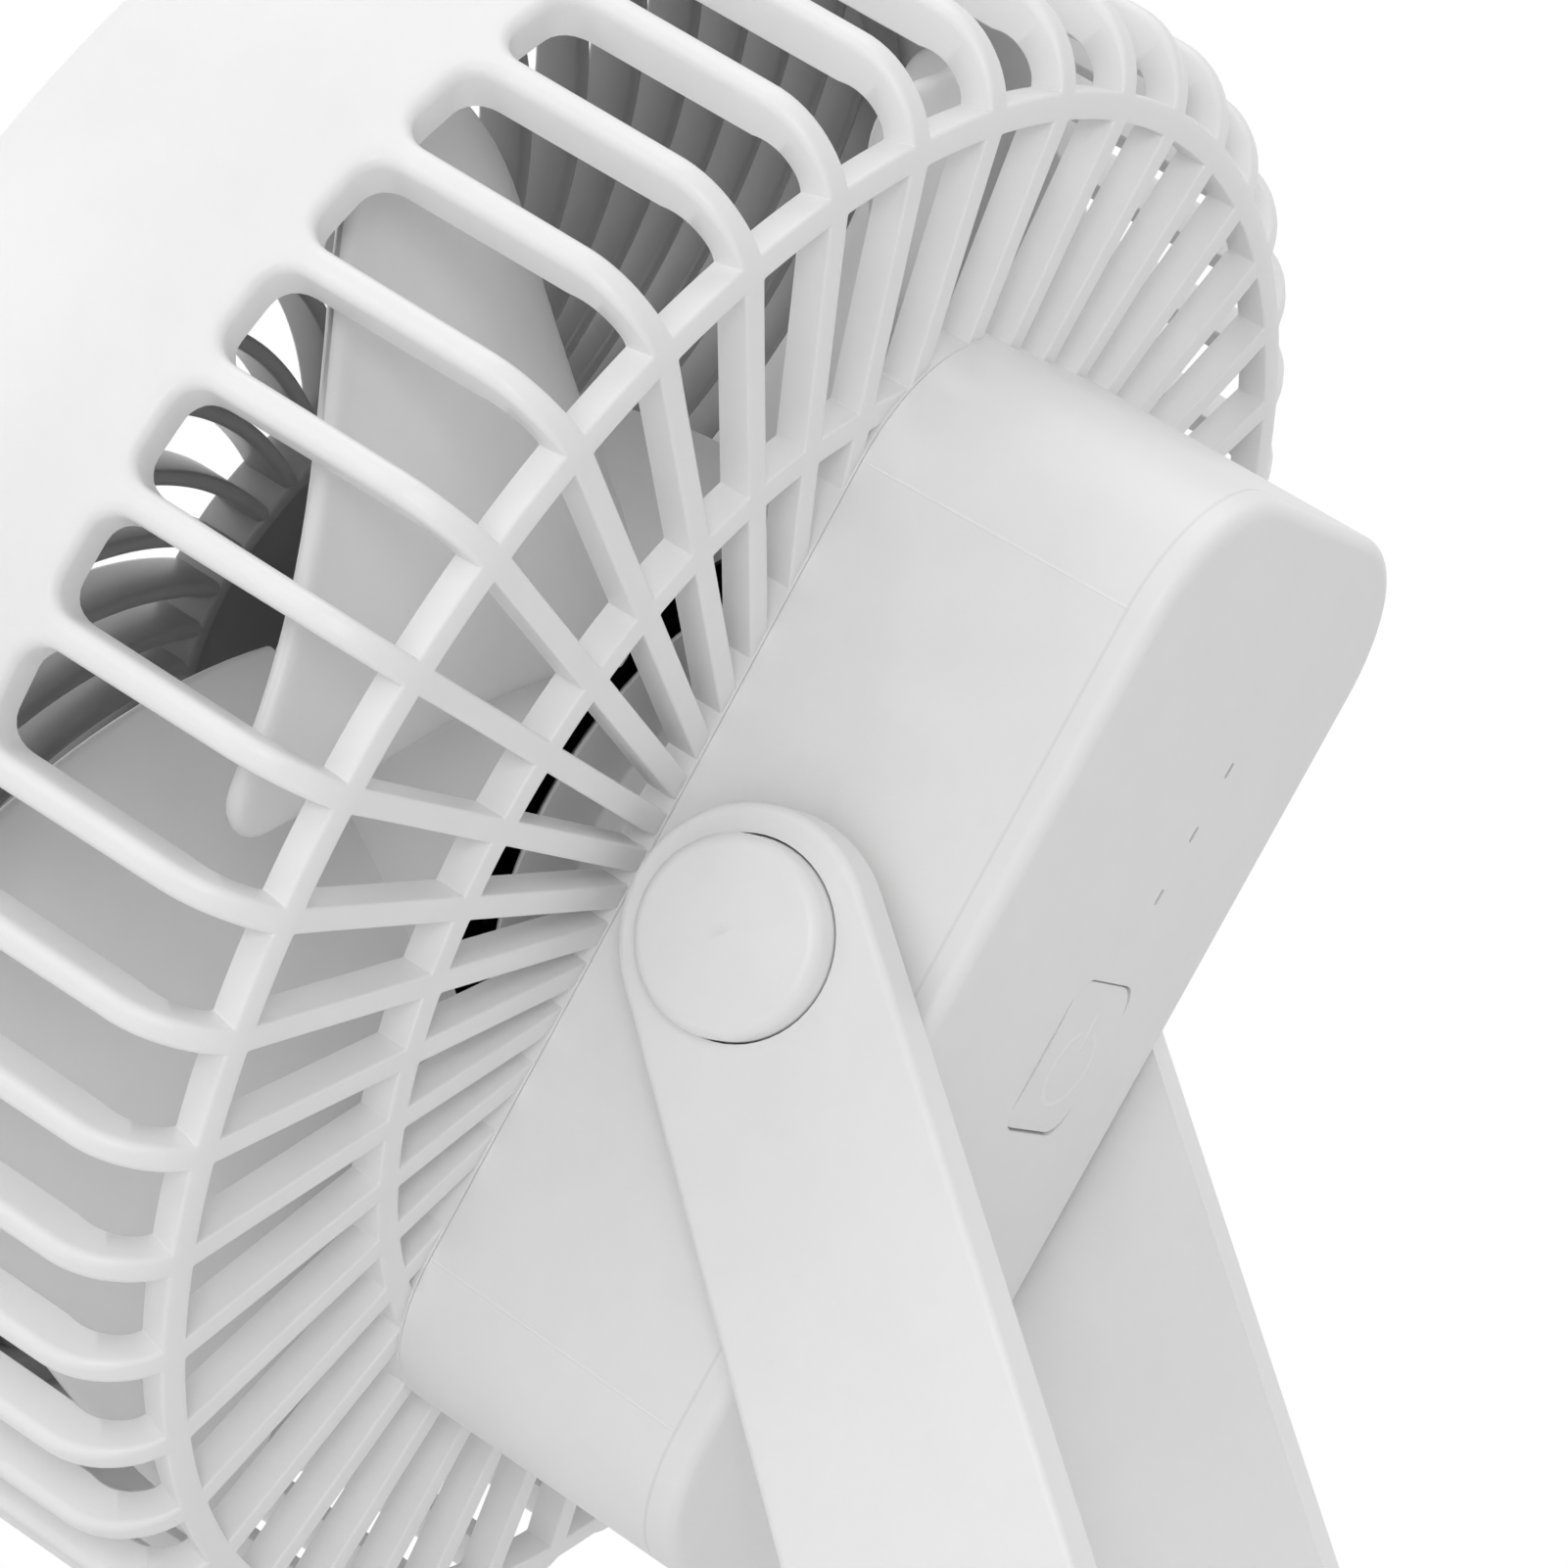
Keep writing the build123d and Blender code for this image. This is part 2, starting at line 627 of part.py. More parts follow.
def make_power_button():
    """A key with a domed face that is level with the cover at its ends, and a flange behind the cover."""
    base = board_front + board_thick
    width = button_size[0] - 2 * button_gap
    height = button_size[1] - 2 * button_gap
    bend = (height ** 2 / 4 + button_dome ** 2) / 2 / button_dome
    key = plate_y(button_place * RectangleRounded(width, height, button_corner - button_gap), base + 4.4, 40)
    key = key & rod_x(bend, -30, 30, cover_edge + button_dome - bend, button_z)
    flange = plate_y(button_place * RectangleRounded(width + 3, height + 3, button_corner + 1),
                     base + 4.4, base + 5.4)
    return key + flange


def make_usb_socket():
    wide, high, deep = usb_shell
    start = -housing_half_height + 0.3
    outline = Pos(0, usb_y) * RectangleRounded(wide, high, 1.55)
    room = Pos(0, usb_y) * RectangleRounded(wide - 0.6, high - 0.6, 1.25)
    tongue = Pos(0, usb_y) * Rectangle(6.6, 0.7)
    shell = plate_z(outline, start, start + deep) - plate_z(room, start - 1, start + deep - 1)
    return shell + plate_z(tongue, start + 1, start + deep)


def make_housing_screws():
    top = housing_front + housing_wall
    return [screw_y(x, z, top, -3.8, 3.0, 1.8, 1.5) for x, z in housing_screw_places]


def make_pivot_screws():
    screws = []
    for side in (-1, 1):
        head_x = arm_inside + arm_thick - cap_pocket_depth + seat_gap
        head = rod_x(pivot_head_radius, side * head_x, side * (head_x + pivot_head_thick), pivot_back, 0)
        shank = rod_x(pivot_screw_radius, side * pivot_screw_tip, side * head_x, pivot_back, 0)
        recess = Pos(side * (head_x + pivot_head_thick), pivot_back, 0) * (Box(1.2, 5, 1) + Box(1.2, 1, 5))
        screws.append(head + shank - recess)
    return screws


def make_pivot_washers():
    ring = []
    for side in (-1, 1):
        disc = rod_x(8.5, side * housing_half_width, side * (arm_inside - seat_gap), pivot_back, 0)
        ring.append(disc - pivot_bore(side, 20, 30))
    return ring


# ---- Yoke, in the sloping jaw's frame: tilt pivot on the Z axis at pivot_height
arm_outside = arm_inside + arm_thick


def make_yoke():
    bar_top = crossbar_bottom + crossbar_thick
    high = pivot_height + 20
    outer = Pos(0, (crossbar_bottom + high + 20) / 2) * RectangleRounded(
        2 * arm_outside, high + 20 - crossbar_bottom, yoke_corner)
    inner = Pos(0, (bar_top + high + 20) / 2) * RectangleRounded(
        2 * arm_inside, high + 20 - bar_top, yoke_corner - arm_thick)
    frame = plate_y(outer - inner, -30, 30)
    low_half = arm_top_half / cos(radians(arm_taper)) + pivot_height * tan(radians(arm_taper))
    tangent = (arm_top_half * cos(radians(arm_taper)), pivot_height + arm_top_half * sin(radians(arm_taper)))
    side = face_of(
        Line((-low_half, 0), (low_half, 0)),
        Line((low_half, 0), tangent),
        ThreePointArc(tangent, (0, pivot_height + arm_top_half), (-tangent[0], tangent[1])),
        Line((-tangent[0], tangent[1]), (-low_half, 0)))
    frame = frame & plate_x(side, -40, 40)
    corner_x = arm_outside - yoke_corner
    corner_z = crossbar_bottom + yoke_corner
    outside = []
    for edge in frame.edges():
        middle = edge @ 0.5
        turn = sqrt(max(0, abs(middle.X) - corner_x) ** 2 + max(0, corner_z - middle.Z) ** 2)
        if abs(turn - yoke_corner) < 0.1 and abs(middle.Y) > 1 and middle.Z > crossbar_bottom + 1:
            outside.append(edge)
        elif abs(abs(middle.X) - arm_outside) < 0.05 and middle.Z > pivot_height:
            outside.append(edge)
    frame = fillet(outside, 0.8)
    foot = fillet(rod_z(foot_radius, seat_gap, crossbar_bottom + 1).edges().sort_by(Axis.Z)[-1], 0.8)
    stem = rod_z(stem_radius, -upper_jaw_thick - seat_gap, crossbar_bottom)
    cuts = [rod_z(1.7, -20, 6)]
    for side_of in (-1, 1):
        pocket_x = side_of * (arm_outside - cap_pocket_depth)
        cuts.append(rod_x(cap_radius + fit_gap, pocket_x, side_of * 40, 0, pivot_height))
        cuts.append(rod_x(pivot_screw_radius + shaft_gap, side_of * 20, side_of * 40, 0, pivot_height))
    return frame + foot + stem - cuts


def make_pivot_cap():
    """Domed cap with a skirt in the arm's pocket; hollow over the screw's head."""
    base_x = arm_outside - cap_pocket_depth
    top = arm_outside + cap_rise
    edge = 1.3
    rim = top - 0.4
    profile = face_of(
        Line((cap_radius - 1.6, base_x), (cap_radius, base_x)),
        Line((cap_radius, base_x), (cap_radius, rim - edge)),
        ThreePointArc((cap_radius, rim - edge), (cap_radius - edge * 0.3, rim - edge * 0.3),
                      (cap_radius - edge, rim)),
        dome(cap_radius - edge, rim, top),
        Line((0, top), (0, arm_outside + 0.6)),
        Line((0, arm_outside + 0.6), (cap_radius - 1.6, arm_outside + 0.6)),
        Line((cap_radius - 1.6, arm_outside + 0.6), (cap_radius - 1.6, base_x)))
    cap = revolve(profile, Axis.Y)
    return Pos(0, 0, pivot_height) * Rot(Z=-90) * cap


def make_retainer():
    top = -upper_jaw_thick - seat_gap
    disc = rod_z(13, top - 2.2, top)
    return disc - rod_z(1.7, top - 5, top + 1)


def make_swivel_screw():
    top = -upper_jaw_thick - seat_gap - 2.2
    head = rod_z(3.4, top - 2, top)
    shank = rod_z(1.7, top, 5)
    return head + shank - Pos(0, 0, top - 2) * (Box(4, 0.8, 1.6) + Box(0.8, 4, 1.6))


# ---- Clip
def jaw_plate(y0, y1, z0, z1, inset=0.0):
    outline = Pos(0, (y0 + y1) / 2) * RectangleRounded(
        2 * (jaw_half_width - inset), y1 - y0 - 2 * inset, jaw_end_radius - inset)
    return plate_z(outline, z0, z1)


def touch_angle(center, point, radius, side):
    """Where a straight line from a point touches a circle, in degrees round the circle."""
    y = point[0] - center[0]
    z = point[1] - center[1]
    return degrees(atan2(z, y)) + side * degrees(acos(radius / sqrt(y * y + z * z)))


def ear(x0, x1, y, z, root_z, half):
    """A lug with a round end at (y, z) that widens towards a plate at root_z."""
    side = 1 if root_z < z else -1
    corners = [(y - half, root_z)]
    for end, turn in ((y - half, -side), (y + half, side)):
        angle = touch_angle((y, z), (end, root_z), ear_radius, turn)
        corners.append((y + ear_radius * cos(radians(angle)), z + ear_radius * sin(radians(angle))))
    corners.append((y + half, root_z))
    outline = Polygon(*corners, align=None) + Pos(y, z) * Circle(ear_radius)
    return plate_x(outline, x0, x1)


def make_lower_jaw():
    plate = jaw_plate(jaw_front, jaw_rear, sole_height, lower_jaw_top)
    plate = fillet(plate.edges().filter_by_position(Axis.Z, lower_jaw_top - 0.01, lower_jaw_top + 0.01), 1.5)
    ears = []
    for x0 in (inner_ear_x, -inner_ear_x - ear_thick):
        ears.append(ear(x0, x0 + ear_thick, hinge_y, hinge_z, lower_jaw_top - 1, 15))
    pin_hole = rod_x(pin_radius, -40, 40, hinge_y, hinge_z)
    pad_room = pad_outline(jaw_front, 1.2, lower_jaw_top - 1, 20)
    return plate + ears - [pin_hole, pad_room, sole_outline(0, 2.2)]


def pad_outline(front, inset, z0, z1):
    """The pad's shape at the tip: rounded in front, straight behind."""
    whole = jaw_plate(front, front + 120, z0, z1, inset)
    return whole & block(-40, 40, front - 1, front + pad_length, z0 - 1, z1 + 1)


def sole_outline(z0, z1):
    return jaw_plate(jaw_front, jaw_rear, z0, z1, 3)


def make_lower_pad():
    pad = pad_outline(jaw_front, 1.4, lower_jaw_top - 1, pad_top)
    grooves = [block(-40, 40, jaw_front + y, jaw_front + y + 1.2, pad_top - 0.8, pad_top + 1)
               for y in range(8, 34, 5)]
    return pad - grooves


def make_sole():
    pad = sole_outline(0, 2.2)
    return fillet(pad.edges().filter_by_position(Axis.Z, -0.01, 0.01), 0.6)


upper_ear_x = inner_ear_x + ear_thick + seat_gap


def make_upper_jaw():
    plate = jaw_plate(-tip_reach, upper_jaw_rear, -upper_jaw_thick, 0)
    plate = fillet(plate.edges().filter_by_position(Axis.Z, -0.01, 0.01), 1.5)
    grips = [fillet(block(-20, 20, v, v + 2.4, -1, 1.2).edges().filter_by_position(Axis.Z, 1.1, 1.3), 0.8)
             for v in (44, 49, 54, 59)]
    ears = []
    for x0 in (upper_ear_x, -upper_ear_x - ear_thick):
        ears.append(ear(x0, x0 + ear_thick, hinge_v, hinge_w, -upper_jaw_thick + 1, 16))
    low = -upper_jaw_thick - 2.5
    stiffeners = [block(x - 1.5, x + 1.5, -36, 50, low, low + 3.5) for x in (-17.5, 17.5)]
    pin_hole = rod_x(pin_radius + shaft_gap, -40, 40, hinge_v, hinge_w)
    ring_groove = rod_z(18, -1.2, 1) - rod_z(13, -2, 2)
    pad_room = pad_outline(-tip_reach, 1.2, -20, -upper_jaw_thick + 1)
    bore = rod_z(stem_radius + shaft_gap, -20, 5)
    return plate + grips + ears + stiffeners - [pin_hole, ring_groove, pad_room, bore]


def make_upper_pad():
    bottom = -upper_jaw_thick - pad_rise
    pad = pad_outline(-tip_reach, 1.4, bottom, -upper_jaw_thick + 1)
    grooves = [block(-40, 40, y - tip_reach, y - tip_reach + 1.2, bottom - 1, bottom + 0.8)
               for y in range(8, 34, 5)]
    return pad - grooves


def make_swivel_ring():
    return rod_z(17.9, -1.2, 0) - rod_z(13.1, -2, 1)


def make_pin():
    return rod_x(pin_radius, -pin_half, pin_half, hinge_y, hinge_z)


def make_pin_rings():
    ring_x = upper_ear_x + ear_thick + seat_gap
    rings = []
    for side in (-1, 1):
        ring = rod_x(4.6, side * ring_x, side * (ring_x + 1.2), hinge_y, hinge_z)
        rings.append(ring - rod_x(pin_radius, side * 20, side * 40, hinge_y, hinge_z))
    return rings


def make_sleeve():
    half = inner_ear_x - 0.2
    return rod_x(4.6, -half, half, hinge_y, hinge_z) - rod_x(pin_radius, -40, 40, hinge_y, hinge_z)


# ---- Torsion spring: its coil turns round the pin, and a leg rests on each handle
def spring_leg_ends():
    """Ends of the wire's middle line: on the lower handle, and under the upper one."""
    lower = (58.0, lower_jaw_top + spring_wire + 0.1)
    along = 58.0
    under = -upper_jaw_thick - spring_wire - seat_gap
    upper = (swivel_y + along * slope_cos - under * slope_sin,
             swivel_z + along * slope_sin + under * slope_cos)
    return lower, upper


def make_spring():
    """One unbroken wire: leg, coil of quarter-turn arcs, leg."""
    lower, upper = spring_leg_ends()
    start = touch_angle((hinge_y, hinge_z), lower, spring_radius, -1)
    end = touch_angle((hinge_y, hinge_z), upper, spring_radius, 1) - 360 * (spring_turns + 1)
    half = spring_pitch * (start - end) / 360 / 2
    count = round((start - end) / 90)

    def on_coil(share):
        angle = radians(start + (end - start) * share)
        return Vector(-half + 2 * half * share, hinge_y + spring_radius * cos(angle),
                      hinge_z + spring_radius * sin(angle))

    wire = [Line((-half, *lower), on_coil(0))]
    for i in range(count):
        wire.append(TangentArc(wire[-1] @ 1, on_coil((i + 1) / count), tangent=wire[-1] % 1))
    last = wire[-1]
    wire.append(Line(last @ 1, (half, *upper)))
    check_spring(wire)
    path = Wire(wire)
    section = Plane(origin=path @ 0, z_dir=path % 0) * Circle(spring_wire)
    return sweep(section, path=path)


def check_spring(wire):
    """Prints the least gap between turns, measured on points along the wire."""
    points = [piece @ (k / 8) for piece in wire[1:-1] for k in range(8)]
    points += [piece @ (k / 60) for piece in (wire[0], wire[-1]) for k in range(61)]
    coil = len(wire[1:-1]) * 8
    least = 1e9
    for i in range(coil):
        for k in range(i + 16, coil):
            least = min(least, (points[i] - points[k]).length)
        for k in range(coil, coil + 61):
            if i > 16:
                least = min(least, (points[i] - points[k]).length)
        for k in range(coil + 61, coil + 122):
            if i < coil - 16:
                least = min(least, (points[i] - points[k]).length)
    print("spring: least gap to itself", round(least - 2 * spring_wire, 2), "mm")


# ---- All pieces
def built():
    """Every node's pieces in the row's frame."""
    pivot_cap = make_pivot_cap()
    on_base = {
        "lower_jaw": make_lower_jaw(),
        "lower_jaw_pad": make_lower_pad(),
        "sole_pad": make_sole(),
        "hinge_pin": make_pin(),
        "hinge_pin_rings": make_pin_rings(),
        "spring_sleeve": make_sleeve(),
        "torsion_spring": make_spring(),
    }
    sloping = {
        "upper_jaw": make_upper_jaw(),
        "upper_jaw_pad": make_upper_pad(),
        "swivel_ring": make_swivel_ring(),
        "yoke": make_yoke(),
        "swivel_retainer": make_retainer(),
        "swivel_screw": make_swivel_screw(),
        "pivot_cap_right": pivot_cap,
        "pivot_cap_left": mirror_x(pivot_cap),
    }
    in_head = {
        "rear_grille": make_rear_grille(),
        "front_grille": make_front_grille(),
        "front_cap": make_front_cap(),
        "motor_base": make_motor_base(),
        "motor_screws": make_motor_screws(),
        "motor_bearings": make_bearings(),
        "motor_stator": make_stator(),
        "motor_windings": make_windings(),
        "rotor_cup": make_rotor_cup(),
        "rotor_magnet": make_magnet(),
        "motor_shaft": make_shaft(),
        "impeller": make_impeller(),
        "impeller_nut": make_impeller_nut(),
        "housing": make_housing(),
        "housing_screws": make_housing_screws(),
        "rear_cover": make_rear_cover(),
        "light_guide": make_light_guide(),
        "status_lights": make_status_lights(),
        "battery_cells": make_cells(),
        "battery_cradle": make_cradle(),
        "main_board": make_board(),
        "board_parts": make_board_parts(),
        "board_screws": make_board_screws(),
        "power_switch": make_power_switch(),
        "switch_plunger": make_switch_plunger(),
        "power_button": make_power_button(),
        "usb_socket": make_usb_socket(),
        "pivot_screws": make_pivot_screws(),
        "pivot_washers": make_pivot_washers(),
    }
    for name, part in on_base.items():
        yield name, part, lambda piece: piece
    for name, part in sloping.items():
        yield name, part, on_jaw
    for name, part in in_head.items():
        yield name, part, on_head


os.makedirs("parts", exist_ok=True)
for node, made, place in built():
    pieces = made if isinstance(made, list) else [made]
    solids = [solid for piece in pieces for solid in place(piece).solids()]
    whole = solids[0] if len(solids) == 1 else Compound(children=solids)
    export_step(whole, f"parts/{node}.step")
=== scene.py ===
# %% [markdown]
# # A clip fan, dressed in Blender
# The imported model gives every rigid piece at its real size. This notebook gives each one its finish, and
# replaces the pieces whose soft moulded edges make the look: the two grilles, the impeller and the disc that
# the motor stands on.
# Everything is in metres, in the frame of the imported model.

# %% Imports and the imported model
import json
import math

import bmesh
import bpy
import numpy as np
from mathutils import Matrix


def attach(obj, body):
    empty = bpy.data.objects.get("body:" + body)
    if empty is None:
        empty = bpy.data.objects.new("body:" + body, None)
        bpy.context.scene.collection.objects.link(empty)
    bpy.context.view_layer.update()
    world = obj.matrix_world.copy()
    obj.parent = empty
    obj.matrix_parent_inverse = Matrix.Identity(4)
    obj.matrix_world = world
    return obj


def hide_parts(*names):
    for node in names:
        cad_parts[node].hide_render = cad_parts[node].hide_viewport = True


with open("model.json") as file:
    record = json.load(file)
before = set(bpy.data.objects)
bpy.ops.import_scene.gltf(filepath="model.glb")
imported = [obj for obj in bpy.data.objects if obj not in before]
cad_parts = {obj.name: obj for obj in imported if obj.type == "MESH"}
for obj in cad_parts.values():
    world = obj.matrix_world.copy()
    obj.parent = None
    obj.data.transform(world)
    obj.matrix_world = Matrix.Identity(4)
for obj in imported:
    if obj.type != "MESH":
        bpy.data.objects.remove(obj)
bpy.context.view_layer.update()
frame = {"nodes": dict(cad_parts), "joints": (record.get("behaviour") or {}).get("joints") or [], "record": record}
MM = 0.001

# %% [markdown]
# The head is tilted in its yoke, so its pieces are easiest to describe in a frame of their own: the fan's
# axis along y with the air blown towards -y, and the tilt pivot at y = 16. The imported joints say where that
# frame is: the place of the pivot and the direction of the impeller's shaft.

# %% The head's own frame
joints = {joint["name"]: joint for joint in frame["joints"]}
pivot = np.array(joints["head_tilt"]["pos_m"])
shaft = np.array(joints["impeller_spin"]["axis"])
HEAD_TILT = math.atan2(shaft[2], -shaft[1])
PIVOT_BACK = 16 * MM


def from_head(points):
    """Row = pivot + turn about X by minus the tilt of (point - (0, pivot_back, 0)); points are (..., 3)."""
    x, y, z = np.moveaxis(np.asarray(points, float), -1, 0)
    c, s = math.cos(HEAD_TILT), math.sin(HEAD_TILT)
    y = y - PIVOT_BACK
    return np.stack([x, y * c + z * s, z * c - y * s], -1) + pivot


print("head tilted by", round(math.degrees(HEAD_TILT), 1), "degrees")

# %% [markdown]
# The camera stands low behind the fan, on its right, and looks a little up at it. A long lens from just
# over half a metre keeps the perspective that makes the near arm wider than the far one. The lens shift
# puts the optical axis where the photograph has it.

# %% Camera
CAMERA_PLACE = (0.5294, 0.2032, 0.1039)
CAMERA_AZIMUTH = math.radians(115.12)
CAMERA_RISE = math.radians(5.95)
FOCAL_PER_WIDTH = 6403.3 / 1601
SHIFT = (0.0333, 0.0399)

camera = bpy.data.objects.new("camera", bpy.data.cameras.new("camera"))
bpy.context.collection.objects.link(camera)
camera.location = CAMERA_PLACE
camera.rotation_euler = (math.pi / 2 + CAMERA_RISE, 0, CAMERA_AZIMUTH)
camera.data.sensor_width = 36
camera.data.lens = 36 * FOCAL_PER_WIDTH
camera.data.shift_x, camera.data.shift_y = SHIFT
camera.data.clip_start = 0.01
bpy.context.scene.camera = camera

# %% [markdown]
# Shader maths reads best as ordinary expressions. This class wraps a socket, so `a * 2 + b` adds the Math
# nodes that it needs, and one method makes any other node.

# %% Sockets as numbers
class Socket:
    """A value in a material: arithmetic on it adds Math nodes."""

    def __init__(self, tree, socket):
        self.tree, self.socket = tree, socket

    def math(self, operation, *others):
        return self.tree.node("ShaderNodeMath", {"operation": operation}, [self, *others])[0]

    def __add__(self, other): return self.math("ADD", other)
    def __sub__(self, other): return self.math("SUBTRACT", other)
    def __mul__(self, other): return self.math("MULTIPLY", other)
    __radd__, __rmul__ = __add__, __mul__

    def __rsub__(self, other):
        return self.tree.node("ShaderNodeMath", {"operation": "SUBTRACT"}, [other, self])[0]

    def between(self, low, high):
        """0 below low, 1 above high, smooth in between."""
        settings = {"interpolation_type": "SMOOTHSTEP"}
        return self.tree.node("ShaderNodeMapRange", settings, [self, low, high])[0]


class Tree:
    """A material's node tree, with one method for every kind of node."""

    def __init__(self, tree):
        self.tree = tree

    def node(self, kind, settings=None, inputs=None):
        """Adds a node: its settings first, then values or sockets for its inputs, by place or by name."""
        made = self.tree.nodes.new(kind)
        for key, value in (settings or {}).items():
            setattr(made, key, value)
        named = inputs.items() if isinstance(inputs, dict) else enumerate(inputs or [])
        for key, value in named:
            if isinstance(value, Socket):
                self.tree.links.new(value.socket, made.inputs[key])
            else:
                made.inputs[key].default_value = value
        return [Socket(self, out) for out in made.outputs if out.enabled]

    def place(self):
        """Where a point is on the object, as x, y and z."""
        where = self.node("ShaderNodeTexCoord")
        return [s for s in where if s.socket.name == "Object"][0]

    def noise(self, vector, scale, detail=2.0, rough=0.5):
        return self.node("ShaderNodeTexNoise", None,
                         {"Vector": vector, "Scale": scale, "Detail": detail, "Roughness": rough})[0]

    def mix(self, factor, first, second):
        made = self.tree.nodes.new("ShaderNodeMix")
        made.data_type = "RGBA"
        for key, value in ((0, factor), (6, first), (7, second)):
            if isinstance(value, Socket):
                self.tree.links.new(value.socket, made.inputs[key])
            else:
                made.inputs[key].default_value = value
        return Socket(self, made.outputs[2])

    def bump(self, height, strength, distance, normal=None):
        inputs = {"Height": height, "Strength": strength, "Distance": distance}
        if normal is not None:
            inputs["Normal"] = normal
        return self.node("ShaderNodeBump", None, inputs)[0]


def grey(value):
    return (value, value, value, 1)


def new_material(name, **constants):
    """A material with one Principled shader; constants go straight onto its sockets."""
    material = bpy.data.materials.new(name)
    material.use_nodes = True
    shader = material.node_tree.nodes["Principled BSDF"]
    for key, value in constants.items():
        shader.inputs[key.replace("_", " ")].default_value = value
    return material, Tree(material.node_tree), shader


def drive(tree, shader, name, socket):
    tree.tree.links.new(socket.socket, shader.inputs[name])


# %% [markdown]
# Almost all of this fan is satin moulded plastic. Up close it isn't flat: the mould's spark-eroded texture
# breaks up the highlight, the wall's shrinkage gives slow waves, and the white is a hair uneven. Each is a
# noise of its own scale, and none is strong enough to be seen as a pattern.

# %% Moulded plastic
def moulded(name, low, high, roughness, grain=0.35, grain_size=5200, coat=0.0):
    """Colour drifts between low and high, roughness drifts by a tenth, fine grain goes into the normal."""
    material, tree, shader = new_material(name, Roughness=roughness, Specular_IOR_Level=0.5,
                                          Coat_Weight=coat, Coat_Roughness=0.3)
    place = tree.place()
    slow = tree.noise(place, 22, 2, 0.5)
    cloud = tree.noise(place, 160, 3, 0.6)
    fine = tree.noise(place, grain_size, 1, 0.5)
    drive(tree, shader, "Base Color", tree.mix((slow * 0.6 + cloud * 0.4).between(0.35, 0.65), low, high))
    drive(tree, shader, "Roughness", cloud * 0.1 + (roughness - 0.05))
    waves = tree.bump(slow, 0.05, 0.002)
    drive(tree, shader, "Normal", tree.bump(fine, grain, 0.00003, waves))
    return material, tree, shader


white_plastic = moulded("white_plastic", grey(0.855), grey(0.88), 0.40)[0]
pale_plastic = moulded("pale_plastic", grey(0.77), grey(0.80), 0.38)[0]
dark_plastic = moulded("dark_plastic", grey(0.27), grey(0.30), 0.36, grain=0.2)[0]
# A paler copy of the white plastic, for the motor's disc: painted light that lifts a disc lying in shade.
painted_light_white_plastic = moulded("painted_light_white_plastic", grey(0.92), grey(0.94), 0.40)[0]
print("plastics ready")

# %% [markdown]
# Surfaces are grids: a function of two parameters gives a block of points, and this helper turns it into
# faces. A closed direction joins the last row to the first, and an end can be closed with one flat face.

# %% Grids into meshes
def grid_faces(rows, columns, closed_rows=False, closed_columns=False, first=0):
    """Quads of a rows by columns block of points, numbered from first; closed directions wrap round."""
    i = np.arange(rows if closed_rows else rows - 1)[:, None]
    j = np.arange(columns if closed_columns else columns - 1)[None, :]
    down, right = (i + 1) % rows, (j + 1) % columns
    quads = np.stack([i * columns + j, i * columns + right, down * columns + right, down * columns + j], -1)
    return quads.reshape(-1, 4) + first


def mesh_from(name, points, faces, material, merge=0.0, sharp=40):
    """An object from points (n, 3) and a list of face arrays: near points merge, faces turn outwards."""
    mesh = bpy.data.meshes.new(name)
    lists = [face for block in faces for face in block.tolist()]
    mesh.from_pydata(np.asarray(points).reshape(-1, 3).tolist(), [], lists)
    whole = bmesh.new()
    whole.from_mesh(mesh)
    if merge:
        bmesh.ops.remove_doubles(whole, verts=whole.verts, dist=merge)
    bmesh.ops.recalc_face_normals(whole, faces=whole.faces)
    whole.to_mesh(mesh)
    whole.free()
    mesh.validate()
    mesh.shade_smooth()
    mesh.set_sharp_from_angle(angle=math.radians(sharp))
    made = bpy.data.objects.new(name, mesh)
    bpy.context.collection.objects.link(made)
    made.data.materials.append(material)
    return made


def turned_about_axis(radius, along, angle):
    """Points of the head's frame at a radius and y, turned by angle from +x towards +z."""
    radius, along, angle = np.broadcast_arrays(radius, along, angle)
    return np.stack([radius * np.cos(angle), along, radius * np.sin(angle)], -1)


# %% [markdown]
# ## Rear grille
# The grille is one moulding: a smooth band whose wall is cut into 44 ribs that bend over to the rear face,
# with two rings tying them together. The holes are what shape it, so it is built hole by hole. The wall is
# a sheet measured by s, the length along its profile, and by the angle. Each hole is a rounded outline
# on that sheet. Rings of points go from the middle of the ribs to the outline, roll over its edge, run
# down through the wall and go back along the inside, which gives every edge its moulded roundness.

# %% Profile of the grille's wall
RIBS = 44
PITCH = 2 * math.pi / RIBS
REAR_FACE = 0.7
SIDE_DEPTH, REAR_DEPTH = 4.6, 3.3
CORNER = 9.1
CORNER_Y = REAR_FACE - CORNER
SIDE_RADIUS = 88.3
SLOT_END = -28.8
FRONT_EDGE = -57.2
RING_OUTER = 80.3
RING_INNER = 52.6
RING_HALF = 1.4


def wall_profile():
    """(radius, y) of the outside, from the front edge round the corner to the axis.

    The band swells by 1.42 (1 - q^2)^2 with q = (y + 44) / 18; then a straight side, a quarter circle and
    the flat rear face."""
    y = np.linspace(FRONT_EDGE, CORNER_Y, 600)
    swell = np.clip(1 - ((y + 44) / 18) ** 2, 0, None) ** 2
    band = np.stack([SIDE_RADIUS + 0.0142 * np.minimum(CORNER_Y - y, 19.7) + 1.42 * swell, y], -1)
    turn = np.linspace(0, math.pi / 2, 200)[1:]
    bend = np.stack([SIDE_RADIUS - CORNER + CORNER * np.cos(turn), CORNER_Y + CORNER * np.sin(turn)], -1)
    flat = np.stack([np.linspace(SIDE_RADIUS - CORNER, 0, 300)[1:], np.full(299, REAR_FACE)], -1)
    return np.concatenate([band, bend, flat])


